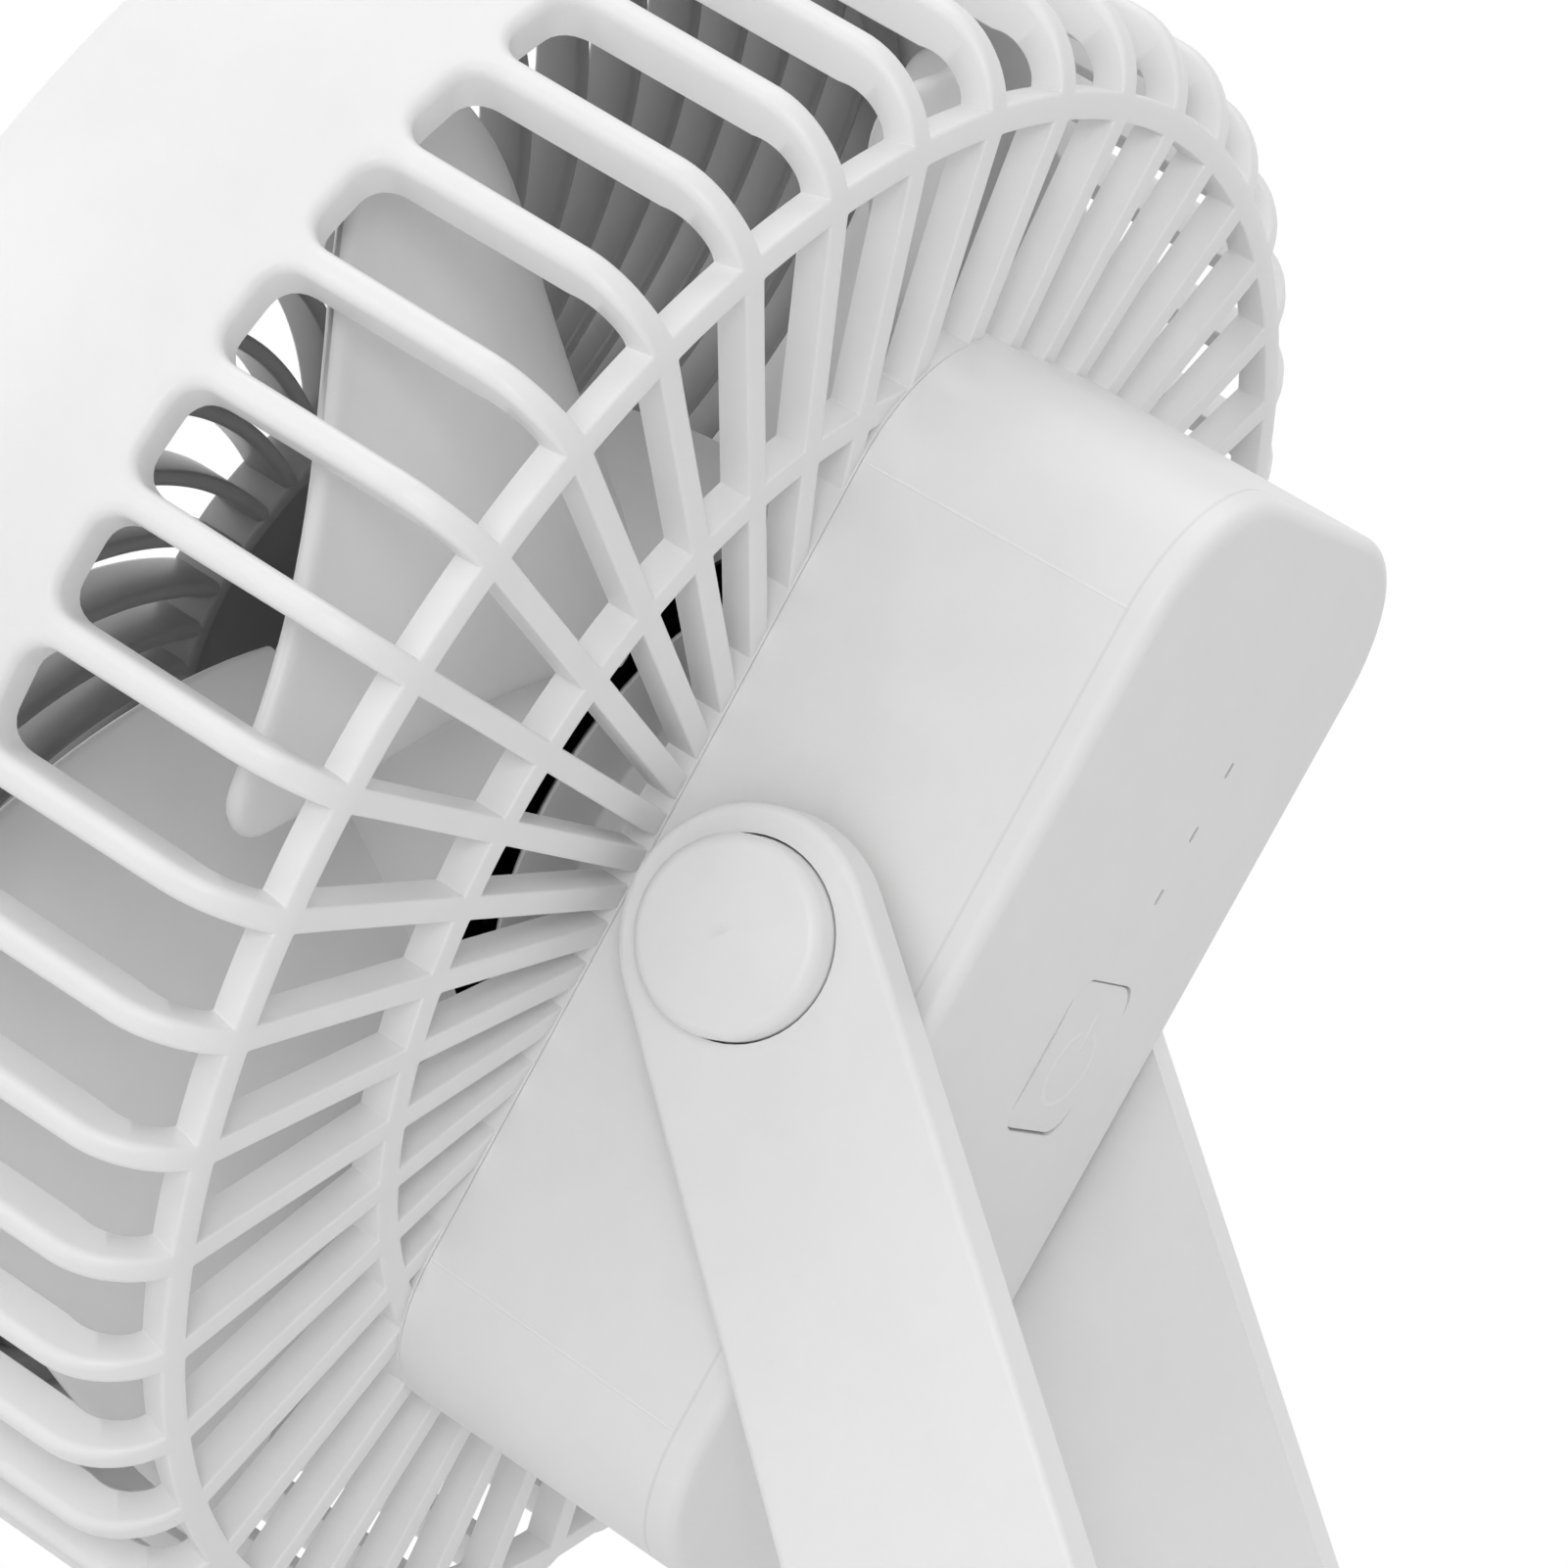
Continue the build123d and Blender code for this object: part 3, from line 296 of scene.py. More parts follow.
profile = wall_profile()
length = np.concatenate([[0], np.cumsum(np.hypot(*np.diff(profile, axis=0).T))])
tangent = np.gradient(profile, length, axis=0)
tangent /= np.hypot(*tangent.T)[:, None]


def wall(angle, s, depth):
    """Point of the wall at an angle, a length s along the profile, and a depth under the outside."""
    radius, along = (np.interp(s, length, profile[:, k]) for k in (0, 1))
    slope_r, slope_y = (np.interp(s, length, tangent[:, k]) for k in (0, 1))
    return turned_about_axis(radius - slope_y * depth, along + slope_r * depth, angle)


def s_at_y(y):
    return float(np.interp(y, profile[:799, 1], length[:799]))


def s_at_radius(radius):
    return float(np.interp(-radius, -profile[600:, 0], length[600:]))


S_SLOT = s_at_y(SLOT_END)
S_CORNER = s_at_y(CORNER_Y)
S_RING = s_at_radius(RING_OUTER)
S_INNER = s_at_radius(RING_INNER)
S_ROOT = s_at_radius(24.0)
print("wall profile", round(length[-1], 1), "mm long, slots from", round(S_SLOT, 1))

# %% [markdown]
# A rib is about 3 mm wide where it leaves the band and 2.3 mm on the rear face, and its outer edges are
# rounder on the side, where fingers touch it, than on the rear.

# %% Holes in the wall
ACROSS = 8                # steps across a hole's straight end
BEND_STEPS = (7, 4)       # points round a corner at a hole's front and rear end
SLOT_CORNER = 2.7
HOLE_CORNER = 0.12
PLAIN_MARGIN = 3.6        # from the slots forward to where the plain band begins


def rib_width(s):
    return np.interp(s, [S_SLOT, S_CORNER, S_RING, S_RING + 8], [3.05, 2.8, 2.55, 2.45])


def edge_radius(s):
    return np.interp(s, [S_SLOT, S_CORNER, S_RING - 6, S_RING], [1.15, 1.1, 0.8, 0.25])


def wall_depth(s):
    return np.interp(s, [0, S_SLOT - 7, S_SLOT - 2.5, S_CORNER, S_RING - 3],
                     [2.4, 2.8, SIDE_DEPTH, SIDE_DEPTH, REAR_DEPTH])


def half_gap(s):
    """Half the width of a hole: half the pitch at that radius, less half a rib."""
    return np.interp(s, length, profile[:, 0]) * PITCH / 2 - rib_width(s) / 2


def hole_outline(s0, s1, corner0, corner1, along, grow):
    """Outline of a hole from s0 to s1 as (u, s), u being measured round the wall from the hole's middle.

    Straight ends, circular corners and long sides at half_gap(s). It is pushed outwards by grow times the
    edge radius there. Its points run round the hole: front end, corner, side, corner, rear end and back."""
    turn0 = np.linspace(0, math.pi / 2, BEND_STEPS[0])
    turn1 = np.linspace(math.pi / 2, 0, BEND_STEPS[1])
    push0, push1 = grow * edge_radius(s0), grow * edge_radius(s1)
    mid0 = half_gap(s0 + corner0) - corner0
    mid1 = half_gap(s1 - corner1) - corner1
    front = np.stack([np.linspace(-mid0, mid0, ACROSS + 1)[:-1], np.full(ACROSS, s0 - push0)], -1)
    bend0 = np.stack([mid0 + (corner0 + push0) * np.sin(turn0),
                      s0 + corner0 - (corner0 + push0) * np.cos(turn0)], -1)
    s = s0 + corner0 + (s1 - corner1 - s0 - corner0) * np.linspace(0, 1, along + 1)[1:-1]
    side = np.stack([half_gap(s) + grow * edge_radius(s), s], -1)
    bend1 = np.stack([mid1 + (corner1 + push1) * np.sin(turn1),
                      s1 - corner1 + (corner1 + push1) * np.cos(turn1)], -1)
    right = np.concatenate([bend0, side, bend1])
    rear = np.stack([np.linspace(mid1, -mid1, ACROSS + 1)[1:-1], np.full(ACROSS - 1, s1 + push1)], -1)
    left = right[::-1] * [-1, 1]
    return np.concatenate([front, right, rear, left[:-1]])


def cell_border(s0, s1, first, last, corner0, corner1, along):
    """Border of the cell round a hole, point for point beside its outline, as (angle, s)."""
    half = PITCH / 2
    front = np.stack([np.linspace(-half, half, ACROSS + 1)[:-1], np.full(ACROSS, first)], -1)
    bend0 = np.linspace(first, s0 + corner0, BEND_STEPS[0])
    side = s0 + corner0 + (s1 - corner1 - s0 - corner0) * np.linspace(0, 1, along + 1)[1:-1]
    bend1 = np.linspace(s1 - corner1, last, BEND_STEPS[1])
    s = np.concatenate([bend0, side, bend1])
    right = np.stack([np.full(len(s), half), s], -1)
    rear = np.stack([np.linspace(half, -half, ACROSS + 1)[1:-1], np.full(ACROSS - 1, last)], -1)
    left = right[::-1] * [-1, 1]
    return np.concatenate([front, right, rear, left[:-1]])


def cell(s0, s1, first, last, corner0, corner1, along, rolls=4):
    """Rings of points (ring, point, 3) of one hole's cell, in the head's frame, round angle 0."""
    border = cell_border(s0, s1, first, last, corner0, corner1, along)

    def outline(grow):
        flat = hole_outline(s0, s1, corner0, corner1, along, grow)
        return np.stack([flat[:, 0] / np.interp(flat[:, 1], length, profile[:, 0]), flat[:, 1]], -1)

    rim = outline(1.0)
    rings = [(border, 0.0), (0.35 * border + 0.65 * rim, 0.0)]
    for turn in np.linspace(0, math.pi / 2, rolls + 1):
        ring = outline(1 - math.sin(turn))
        rings.append((ring, edge_radius(ring[:, 1]) * (1 - math.cos(turn))))
    wall_end = outline(0.0)
    rings.append((wall_end, wall_depth(wall_end[:, 1]) - 0.15))
    lip = outline(0.15)
    rings.append((lip, wall_depth(lip[:, 1])))
    rings.append((border, wall_depth(border[:, 1])))
    return np.stack([wall(ring[:, 0], ring[:, 1], depth) for ring, depth in rings])


def round_the_axis(block, count=RIBS, first=0.5):
    """Copies of a block of head points turned about the fan's axis: angle = (k + first) * pitch."""
    turn = (np.arange(count) + first) * 2 * math.pi / count
    c, s = np.cos(turn), np.sin(turn)
    x, y, z = np.moveaxis(block, -1, 0)
    spread = (slice(None),) + (None,) * x.ndim
    return np.stack([x * c[spread] - z * s[spread], np.broadcast_to(y, (count, *y.shape)),
                     x * s[spread] + z * c[spread]], -1)


# %% [markdown]
# Three kinds of hole repeat round the axis: the long ones that run from the band over the corner, the ones
# between the two rings, and the ones that run in under the housing. In front of them the band is plain,
# and rolls over at its front edge.

# %% The grille's mesh
LIP_OUT, LIP_IN = 0.8, 0.5   # roundings of the band's front edge, outside and inside


def grille_blocks():
    """All blocks of points and faces of the grille, in the head's frame, in millimetres."""
    blocks = [
        cell(S_SLOT, S_RING - RING_HALF, S_SLOT - PLAIN_MARGIN, S_RING, SLOT_CORNER, HOLE_CORNER, 30),
        cell(S_RING + RING_HALF, S_INNER - RING_HALF, S_RING, S_INNER, HOLE_CORNER, HOLE_CORNER, 6, 3),
        cell(S_INNER + RING_HALF, S_ROOT - 1, S_INNER, S_ROOT, HOLE_CORNER, HOLE_CORNER, 6, 3),
    ]
    points, faces, count = [], [], 0
    for block in blocks:
        many = round_the_axis(block)
        rings, around = block.shape[:2]
        for copy in range(RIBS):
            faces.append(grid_faces(rings, around, closed_columns=True, first=count + copy * rings * around))
        points.append(many.reshape(-1, 3))
        count += many.size // 3
    angle = np.arange(RIBS * ACROSS) * PITCH / ACROSS
    s = np.linspace(0, S_SLOT - PLAIN_MARGIN, 10)
    outside = wall(0.0, s, 0.0)[:, :2]
    inside = wall(0.0, s[::-1], wall_depth(s[::-1]))[:, :2]
    edge_out, edge_in = outside[0][0], inside[-1][0]
    turn = np.linspace(0, math.pi / 2, 5)[1:-1]
    lip_in = np.stack([edge_in + LIP_IN - LIP_IN * np.cos(turn), FRONT_EDGE - LIP_OUT * np.sin(turn)], -1)
    back = turn[::-1]
    rise = FRONT_EDGE - LIP_OUT * np.sin(back)
    lip_out = np.stack([edge_out - LIP_OUT + LIP_OUT * np.cos(back), rise], -1)
    flat = np.array([[edge_in + LIP_IN, FRONT_EDGE - LIP_OUT], [edge_out - LIP_OUT, FRONT_EDGE - LIP_OUT]])
    band = np.concatenate([inside, lip_in, flat, lip_out, outside])
    points.append(turned_about_axis(band[:, 0, None], band[:, 1, None], angle[None]).reshape(-1, 3))
    faces.append(grid_faces(len(band), len(angle), closed_columns=True, first=count))
    count += len(band) * len(angle)
    root = wall(angle[None], S_ROOT, np.array([[0.0], [REAR_DEPTH]]))
    points.append(root.reshape(-1, 3))
    faces.append(grid_faces(2, len(angle), closed_columns=True, first=count))
    return np.concatenate(points), faces


points, faces = grille_blocks()
grille = mesh_from("grille", from_head(points * MM), faces, white_plastic, merge=2e-6)
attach(grille, "fan_head")
print("grille:", len(grille.data.polygons), "faces")

# %% [markdown]
# Under the housing the grille closes into a plate with the housing's own outline. The ribs run into it, and
# a hair of a gap is left to the housing, which shows as a fine dark seam.

# %% Plate under the housing
HOUSE = (25.8, 55.6, 14.4)


def rounded_outline(half_x, half_z, corner, steps=10):
    """Closed outline of a rounded rectangle: four quarter circles round the corners' centres."""
    turn = np.linspace(0, math.pi / 2, steps + 1)
    quarter = np.stack([np.cos(turn), np.sin(turn)], -1) * corner
    centre = np.array([half_x - corner, half_z - corner])
    first = quarter + centre
    second = first[::-1] * [-1, 1]
    return np.concatenate([first, second, -first, second * [-1, -1]])


def stacked(layers, steps=10):
    """Rounded rectangles stacked along y: each layer is (inset, y), and both ends are closed flat."""
    rows = []
    for inset, y in layers:
        flat = rounded_outline(HOUSE[0] - inset, HOUSE[1] - inset, HOUSE[2] - inset, steps)
        rows.append(np.stack([flat[:, 0], np.full(len(flat), y), flat[:, 1]], -1))
    return np.stack(rows)


def closed_ends(rows, around, first=0):
    """Two flat faces that close the first and the last row of a block."""
    start = np.arange(around)[None, ::-1] + first
    return [start, np.arange(around)[None] + (rows - 1) * around + first]


rib_floor = REAR_FACE - REAR_DEPTH
block = stacked([(4, -SIDE_DEPTH), (4, rib_floor), (0, rib_floor), (0, 0.75), (0.15, 0.88)])
rows, around = block.shape[:2]
faces = [grid_faces(rows, around, closed_columns=True), *closed_ends(rows, around)]
plate = mesh_from("grille_plate", from_head(block * MM), faces, white_plastic, merge=1e-6)
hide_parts("rear_grille")
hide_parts("rear_grille")
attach(plate, "fan_head")

# %% [markdown]
# ## Front grille
# The front is dark grey: thin vanes that sweep round in a spiral from a hub to a frame inside the band. A
# vane is one bar's section, with rounded edges, carried outwards. It leans from the radius by an angle that
# grows with the radius.

# %% Vanes, frame and hub
VANES = 36
VANE_WIDTH = 1.6
LEAN = math.radians(0.85)    # how much the lean grows per millimetre of radius
LEAN_FROM = 17
VANE_REACH = (22.6, 83.0)


def rounded_section(width, y0, y1, corner, steps=4):
    """Closed section of a bar: a width by y1 - y0 rectangle with its corners rounded."""
    turn = np.linspace(0, math.pi / 2, steps + 1)
    arc = np.stack([np.cos(turn), np.sin(turn)], -1) * corner
    half = (y1 - y0) / 2
    first = arc + [width / 2 - corner, half - corner]
    second = first[::-1] * [-1, 1]
    return np.concatenate([first, second, -first, second * [-1, -1]]) + [0, (y0 + y1) / 2]


def vane_block():
    """Points (radius, section, 3): angle falls by the sum of tan(lean) / r as the radius grows."""
    radius = np.linspace(*VANE_REACH, 41)
    fine = np.linspace(*VANE_REACH, 601)
    slope = np.tan(LEAN * (fine - LEAN_FROM)) / fine
    swept = np.concatenate([[0], np.cumsum((slope[1:] + slope[:-1]) / 2 * np.diff(fine))])
    angle = -np.interp(radius, fine, swept)
    section = rounded_section(VANE_WIDTH, -58.0, -52.0, 0.72, 3)
    across = section[None, :, 0] / np.cos(LEAN * (radius - LEAN_FROM))[:, None]
    return turned_about_axis(radius[:, None], section[None, :, 1], angle[:, None] + across / radius[:, None])


def lathe(loop, count):
    """A closed (radius, y) loop turned about the fan's axis in count steps."""
    angle = np.linspace(0, 2 * math.pi, count, endpoint=False)
    return turned_about_axis(loop[:, 0, None], loop[:, 1, None], angle[None])


def eased(corners, radius, steps=3):
    """A closed loop of (r, y) corners, each cut off by a short arc-like curve (a quadratic Bezier)."""
    corners = np.array(corners, float)
    before, after = np.roll(corners, 1, 0) - corners, np.roll(corners, -1, 0) - corners
    far = [np.hypot(*side.T)[:, None] for side in (before, after)]
    reach = np.minimum(np.minimum(far[0], far[1]) * 0.45, radius)
    start, end = corners + before / far[0] * reach, corners + after / far[1] * reach
    t = np.linspace(0, 1, steps + 1)[None, :, None]
    curve = start[:, None] * (1 - t) ** 2 + corners[:, None] * 2 * t * (1 - t) + end[:, None] * t ** 2
    return curve.reshape(-1, 2)


def gathered(blocks):
    """Several blocks as one list of points and faces; each is (points, closed rows, closed ends)."""
    points, faces, count = [], [], 0
    for block, loop, ends in blocks:
        rows, around = block.shape[:2]
        faces.append(grid_faces(rows, around, loop, True, count))
        if ends:
            faces.extend(closed_ends(rows, around, count))
        points.append(block.reshape(-1, 3))
        count += rows * around
    return np.concatenate(points), faces


vane = vane_block()
turned_vanes = round_the_axis(vane, VANES, 0.0)
blocks = [(copy, False, True) for copy in turned_vanes]
blocks.append((lathe(eased([(82, -58.6), (86, -58.6), (86, -50), (82, -50)], 0.9), 176), True, False))
hub_loop = [(1.6, -57), (22, -57), (22, -58), (24, -58), (24, -52), (22, -52), (22, -54.6), (1.6, -54.6)]
blocks.append((lathe(eased(hub_loop, 0.5), 96), True, False))
points, faces = gathered(blocks)
front = mesh_from("front_vanes", from_head(points * MM), faces, dark_plastic)
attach(front, "fan_head")
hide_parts("front_grille")
print("front grille:", len(front.data.polygons), "faces")

# %% [markdown]
# ## Impeller
# Five broad blades sweep forward round a hub with a cone-shaped nose that covers the motor. A blade is a
# thin sheet: its angle round the axis depends on the radius and on how far it is from its rear edge, and it
# drops towards the front slowly at first, then steeply. The sheet gets its thickness along its own normal,
# with round edges.

# %% Blades and hub
TIP = 78.0
TIP_ZONE = 17                # from the tip inwards, where the drop changes its form
CHORD = 68                   # about how long a blade is, which turns its share into millimetres


def blade_sheet(radius, share):
    """Middle of a blade, at a radius and a share 0 to 1 of the way from its rear to its front edge.

    With v = (78 - r) / 42 the rear edge is at -8 + 29 v^1.6 degrees and the front edge at 44 + 23 v; the
    angle goes from one to the other with the share. y = -10.5 - 30.5 drop, where drop is share^1.9 from
    r = 61 inwards, 1 - (1 - share^2.3)^2 at the tip, and passes smoothly from one to the other."""
    v = np.clip((TIP - radius) / 42, 0, None)
    way = np.clip((TIP - radius) / TIP_ZONE, 0, 1)
    inner = way * way * (3 - 2 * way)
    along = np.clip(share, 0, 1)
    drop = inner * along ** 1.9 + (1 - inner) * (1 - (1 - along ** 2.3) ** 2)
    rear, front = -8 + 29 * v ** 1.6, 44 + 23 * v
    return turned_about_axis(radius, -10.5 - 30.5 * drop, np.radians(rear + (front - rear) * share))


def blade_block(thick=2.0, corner=7.0):
    """Points (radius, loop, 3) of a blade: out along one face and back along the other."""
    radius = np.concatenate([np.linspace(31, TIP - corner, 16)[:-1],
                             TIP - corner * (1 - np.sin(np.linspace(0, math.pi / 2, 10)))])
    past = np.clip(radius - (TIP - corner), 0, corner)
    trim = (corner - np.sqrt(corner ** 2 - past ** 2)) / CHORD
    edge = np.array([0.0, 0.15, 0.5, 1.0]) / CHORD
    inner = np.linspace(edge[-1], 1 - edge[-1], 26)
    share = np.concatenate([edge[:-1], inner, 1 - edge[:-1][::-1]])
    round_end = np.sqrt(1 - (1 - np.clip(np.minimum(share, 1 - share) * CHORD, 0, 1)) ** 2)
    loop_share = np.concatenate([share, share[::-1][1:-1]])
    side = np.concatenate([round_end, -round_end[::-1][1:-1]]) * thick / 2
    spread = trim[:, None] + (1 - 2 * trim[:, None]) * loop_share[None]
    r = np.broadcast_to(radius[:, None], spread.shape)
    middle = blade_sheet(r, spread)
    step = 1e-3
    along_r = blade_sheet(r + step, spread) - blade_sheet(r - step, spread)
    along_s = blade_sheet(r, np.clip(spread + step, 0, 1)) - blade_sheet(r, np.clip(spread - step, 0, 1))
    normal = np.cross(along_r, along_s)
    normal /= np.linalg.norm(normal, axis=-1, keepdims=True)
    thin = np.sqrt(1 - (1 - np.clip((TIP - radius) / 1.0, 0.02, 1)) ** 2)
    return middle + normal * side[None, :, None] * thin[:, None, None]


hub_loop = [(1.6, -48.5), (13, -48.5), (29, -41), (31.5, -39.2), (33.6, -28), (33.6, -11.9), (31.75, -11.9),
            (31.75, -28), (29.5, -37.6), (13, -46.5), (5, -46.5), (5, -28), (1.6, -28)]
blocks = [(copy, False, True) for copy in round_the_axis(blade_block(), 5, 0.0)]
blocks.append((lathe(eased(hub_loop, 1.2), 96), True, False))
points, faces = gathered(blocks)
impeller = mesh_from("impeller_blades", from_head(points * MM), faces, pale_plastic)
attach(impeller, "impeller")
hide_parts("impeller")
print("impeller:", len(impeller.data.polygons), "faces")

# %% [markdown]
# The motor stands on a white disc behind the hub. Its edge is thin, because the underside slopes away, and
# so the black of the motor starts right at the edge. The disc's white is painted paler than the grille's, as
# painted light on a disc that sits in shade under the ribs and the housing.

# %% Motor base
base_loop = [(2.3, -10.6), (2.3, -4.7), (15, -4.7), (15, -10.4), (25.7, -10.4), (25.7, -10.8), (22.5, -12.6),
             (5.5, -12.6), (5.5, -25.5), (4.1, -25.5), (4.1, -22.4), (2.3, -22.4)]
points, faces = gathered([(lathe(eased(base_loop, 0.5), 128), True, False)])
# The disc's paler plastic is painted light for the shade it sits in.
motor_base = mesh_from("motor_base_disc", from_head(points * MM), faces, painted_light_white_plastic)
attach(motor_base, "fan_head")
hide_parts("motor_base")
print("motor base:", len(motor_base.data.polygons), "faces")

# %% [markdown]
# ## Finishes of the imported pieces
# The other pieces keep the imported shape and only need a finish. Metals differ mostly in colour and
# roughness; rubber is dark, dull and a little dusty. The motor's cup has a light coat, and its magnet and
# windings are nearly black, which makes the dark band that shows round the disc.

# %% Metals, rubber and electronics
def metal(name, low, high, roughness, grain_size=900, stretch=1.0):
    """Bare metal: colour and roughness drift, and fine drawn lines run along x when stretch is small."""
    material, tree, shader = new_material(name, Metallic=1.0, Roughness=roughness)
    place = tree.place()
    squeezed = tree.node("ShaderNodeVectorMath", {"operation": "MULTIPLY"}, [place, (stretch, 1, 1)])[0]
    lines = tree.noise(squeezed, grain_size, 3, 0.6)
    drive(tree, shader, "Base Color", tree.mix(lines.between(0.3, 0.7), low, high))
    drive(tree, shader, "Roughness", lines * 0.2 + (roughness - 0.1))
    drive(tree, shader, "Normal", tree.bump(lines, 0.2, 0.00002))
    return material


rubber = moulded("rubber", grey(0.10), (0.14, 0.14, 0.135, 1), 0.78, grain=0.7, grain_size=2600)[0]
steel = metal("steel", grey(0.52), grey(0.62), 0.30)
spring_steel = metal("spring_steel", grey(0.40), grey(0.52), 0.28, 1600, 0.1)
rotor_steel = moulded("rotor_steel", grey(0.66), grey(0.70), 0.42, grain=0.1)[0]
black_winding = metal("black_winding", (0.022, 0.018, 0.016, 1), (0.05, 0.042, 0.038, 1), 0.38, 2600, 0.2)
tin = metal("tin", grey(0.60), grey(0.72), 0.34)
ferrite = moulded("ferrite", grey(0.02), grey(0.03), 0.6, grain=0.5)[0]
laminations = metal("laminations", grey(0.03), grey(0.05), 0.42)
cell_wrap = moulded("cell_wrap", (0.02, 0.10, 0.06, 1), (0.03, 0.13, 0.08, 1), 0.30, grain=0.1, coat=0.4)[0]
board_green = moulded("board_green", (0.01, 0.07, 0.03, 1), (0.015, 0.09, 0.04, 1), 0.35, coat=0.3)[0]
parts_black = moulded("parts_black", grey(0.025), grey(0.04), 0.5)[0]
light_chip = moulded("light_chip", (0.80, 0.80, 0.55, 1), (0.88, 0.88, 0.65, 1), 0.3)[0]
nylon = moulded("nylon", (0.62, 0.61, 0.55, 1), (0.68, 0.67, 0.61, 1), 0.45)[0]
clear_guide = moulded("clear_guide", grey(0.50), grey(0.56), 0.18, grain=0.1)[0]

# %% [markdown]
# Three white pieces carry lines of their own, too fine to be worth faces. The housing has the hair of a
# parting line where two slides of its mould met, across each side near its ends, and where it meets the
# cover a fine grey stripe of painted shade, for the shadow in the joint, runs round both. The button has the
# usual sign for power, a ring with a bar, a few hundredths of a millimetre proud. All are masks on the place
# of a point in the head's own frame, which three dot products give: a ridge is bumped, and its colour is also
# made a little paler as a painted highlight.

# %% Parting lines and the sign for power
def head_place(tree):
    """x, y and z in the head's frame, in millimetres: dot products of (point - pivot) with its axes."""
    moved = tree.node("ShaderNodeVectorMath", {"operation": "SUBTRACT"}, [tree.place(), tuple(pivot)])[0]
    c, s = 1000 * math.cos(HEAD_TILT), 1000 * math.sin(HEAD_TILT)
    x, y, z = (tree.node("ShaderNodeVectorMath", {"operation": "DOT_PRODUCT"}, [moved, axis])[0]
               for axis in ((1000, 0, 0), (0, c, -s), (0, s, c)))
    return x, y + PIVOT_BACK / MM, z


def stripe(value, centre, half, soft):
    """1 where the value is within half of the centre, falling to 0 over soft more."""
    return 1 - (value - centre).math("ABSOLUTE").between(half, half + soft)


def with_lines(name, ridges_with_painted_highlight, painted_shade_lines, proud=0.04):
    """White plastic with raised lines, made paler as a painted highlight, and grey lines of painted shade at a
    seam; each is drawn from x, y and z.
    """
    material, tree, shader = moulded(name, grey(0.855), grey(0.88), 0.40)
    place = head_place(tree)
    under = Socket(tree, shader.inputs["Normal"].links[0].from_socket)
    colour = Socket(tree, shader.inputs["Base Color"].links[0].from_socket)
    if ridges_with_painted_highlight:
        ridge_and_painted_highlight = ridges_with_painted_highlight(*place)
        under = tree.bump(ridge_and_painted_highlight, 1.0, proud * MM, under)
        # A ridge's colour is mixed towards a paler white: a painted highlight along the sign and the parting
        # lines.
        colour = tree.mix(ridge_and_painted_highlight * 0.4, colour, grey(0.96))
    if painted_shade_lines:
        # The seam's colour is mixed towards grey: painted shade for the shadow in the joint.
        colour = tree.mix(painted_shade_lines(*place) * 0.3, colour, grey(0.62))
    drive(tree, shader, "Normal", under)
    drive(tree, shader, "Base Color", colour)
    return material


def parting_lines(x, y, z):
    """Two lines across each side: at |z| = 41.1 at the front, 41.7 at the seam with the cover."""
    where = z.math("ABSOLUTE") - y * 0.02
    return stripe(where, 41.1, 0.10, 0.10)


def seam(x, y, z):
    """The joint of housing and cover, all round at one y, where grey is laid as painted shade for the shadow in
    the joint.
    """
    return stripe(y, SEAM_Y, 0.10, 0.12)


def power_sign(x, y, z):
    """A ring of radius 3.9 that is open at the top, and a bar through the opening."""
    across, up = x - SIGN_MIDDLE[0], z - SIGN_MIDDLE[1]
    away = (across * across + up * up).math("SQRT")
    ring = stripe(away, 3.9, 0.25, 0.15) * (1 - stripe(across, 0, 1.1, 0.1) * up.between(0, 0.1))
    bar = stripe(across, 0, 0.25, 0.15) * stripe(up, 3.9, 1.9, 0.15)
    return ring.math("MAXIMUM", bar)


SEAM_Y = 30.2
SIGN_MIDDLE = (-6.9, -0.2)
# Housing: painted highlight on its parting lines and painted shade at the seam; cover: painted shade at the seam;
# button: painted highlight on its sign.
housing_plastic = with_lines("housing_plastic", parting_lines, seam)
cover_plastic = with_lines("cover_plastic", None, seam)
button_plastic = with_lines("button_plastic", power_sign, None)

# %% [markdown]
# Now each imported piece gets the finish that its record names, and those three get their own.

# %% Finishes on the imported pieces
FINISH_OF_SLOT = {
    "white_plastic": white_plastic, "pale_plastic": pale_plastic, "dark_plastic": dark_plastic,
    "rubber": rubber, "steel": steel, "spring_steel": spring_steel, "rotor_steel": rotor_steel,
    "ferrite": ferrite, "copper": black_winding, "laminations": laminations, "cell_wrap": cell_wrap,
    "board": board_green, "parts_black": parts_black, "tin": tin, "clear": clear_guide,
    "light_chip": light_chip, "nylon": nylon,
}
FINISH_OF_NODE = {"housing": housing_plastic, "rear_cover": cover_plastic, "power_button": button_plastic}
slot_of_node = {item["node"]: item["material_slot"] for item in frame["record"]["subparts"]}
for name, packed in frame["nodes"].items():
    finish = FINISH_OF_NODE.get(name, FINISH_OF_SLOT[slot_of_node[name]])
    for holder in packed.material_slots:
        holder.material = finish
    if not packed.material_slots:
        packed.data.materials.append(finish)
print("finished", len(frame["nodes"]), "packed pieces")

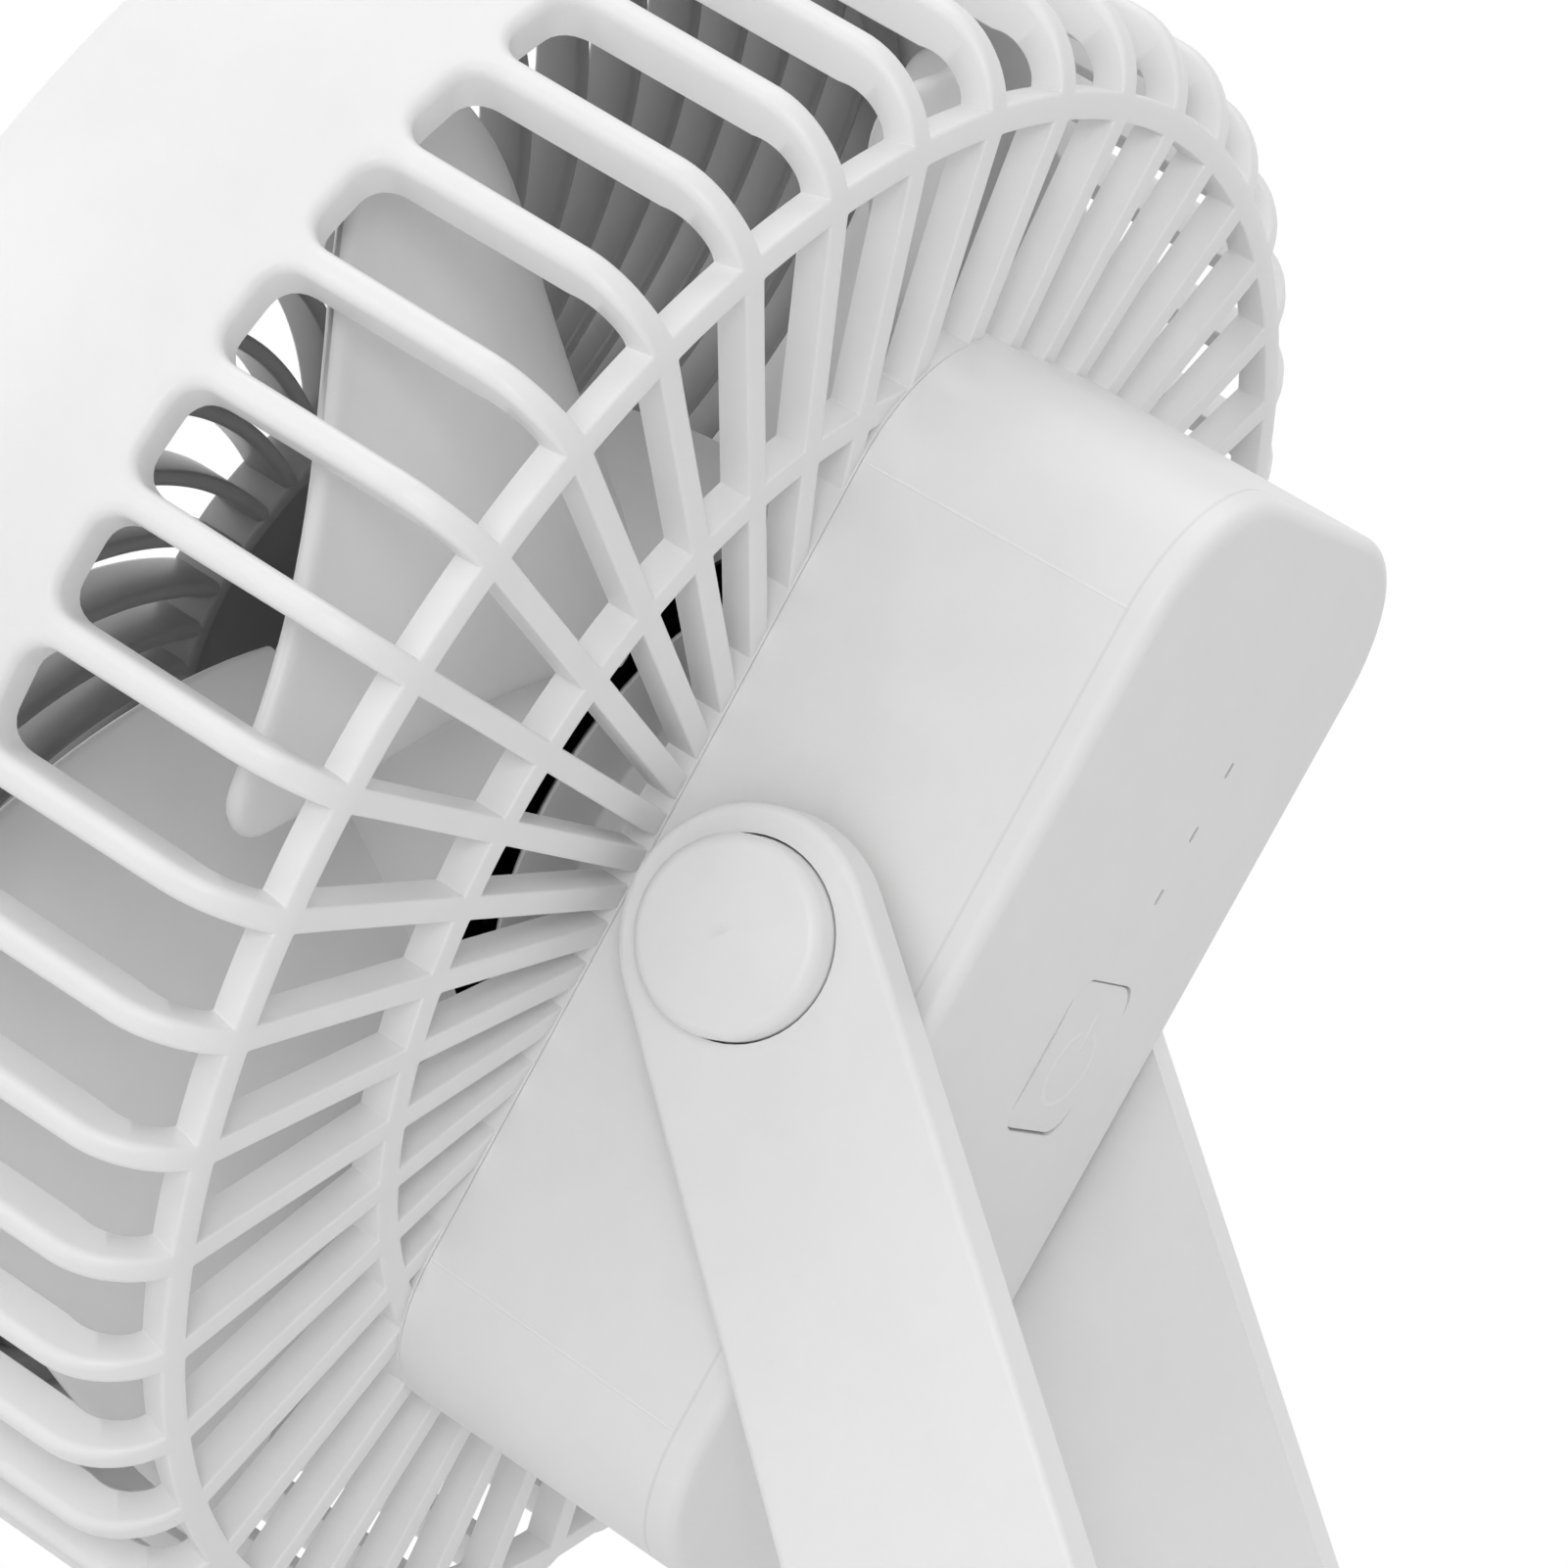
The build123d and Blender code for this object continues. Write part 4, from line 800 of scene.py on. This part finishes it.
# %% [markdown]
# ## Stage
# A pale floor, a white background and soft lamps. Lamps and world together light a surface at about the
# level at which its colour renders as written.

# %% Floor, background and lamps
floor_mesh = bpy.data.meshes.new("floor")
REACH = 2.0
corners = [(-REACH, -REACH, 0), (REACH, -REACH, 0), (REACH, REACH, 0), (-REACH, REACH, 0)]
floor_mesh.from_pydata(corners, [], [(0, 1, 2, 3)])
floor = bpy.data.objects.new("floor", floor_mesh)
bpy.context.collection.objects.link(floor)
floor_material = moulded("floor", grey(0.80), grey(0.82), 0.7, grain=0.05)[0]
floor.data.materials.append(floor_material)

world = bpy.data.worlds.new("world")
bpy.context.scene.world = world
world.use_nodes = True
sky = Tree(world.node_tree)
ray = {s.socket.name: s for s in sky.node("ShaderNodeLightPath")}
seen = (ray["Is Camera Ray"] + ray["Is Glossy Ray"] + ray["Is Transmission Ray"]).math("MINIMUM", 1.0)
WORLD_LIGHT = 0.53
drive(sky, world.node_tree.nodes["Background"], "Strength", seen * (1 - WORLD_LIGHT) + WORLD_LIGHT)
world.node_tree.nodes["Background"].inputs["Color"].default_value = grey(1.0)


def lamp(name, place, aim, size, power):
    """A square soft lamp at a place, turned to face a point."""
    data = bpy.data.lights.new(name, "AREA")
    data.shape, data.size, data.energy = "SQUARE", size, power
    made = bpy.data.objects.new(name, data)
    bpy.context.collection.objects.link(made)
    ahead = np.array(aim) - np.array(place)
    flat = math.hypot(ahead[0], ahead[1])
    made.location = place
    made.rotation_euler = (math.pi / 2 + math.atan2(ahead[2], flat), 0, math.atan2(-ahead[0], ahead[1]))
    return made


middle = (0, 0, 0.15)
lamp("key", (1.1, -0.75, 0.95), middle, 0.7, 3.9)
lamp("rear_fill", (1.15, 0.47, 0.22), middle, 0.35, 2.8)
lamp("front_fill", (-0.8, -1.0, 0.7), middle, 1.0, 3.2)
lamp("left_fill", (-1.2, 0.5, 0.6), middle, 1.0, 0.8)
lamp("top", (0.1, 0.1, 1.5), middle, 1.0, 4.6)

scene = bpy.context.scene
scene.view_settings.view_transform = "Standard"
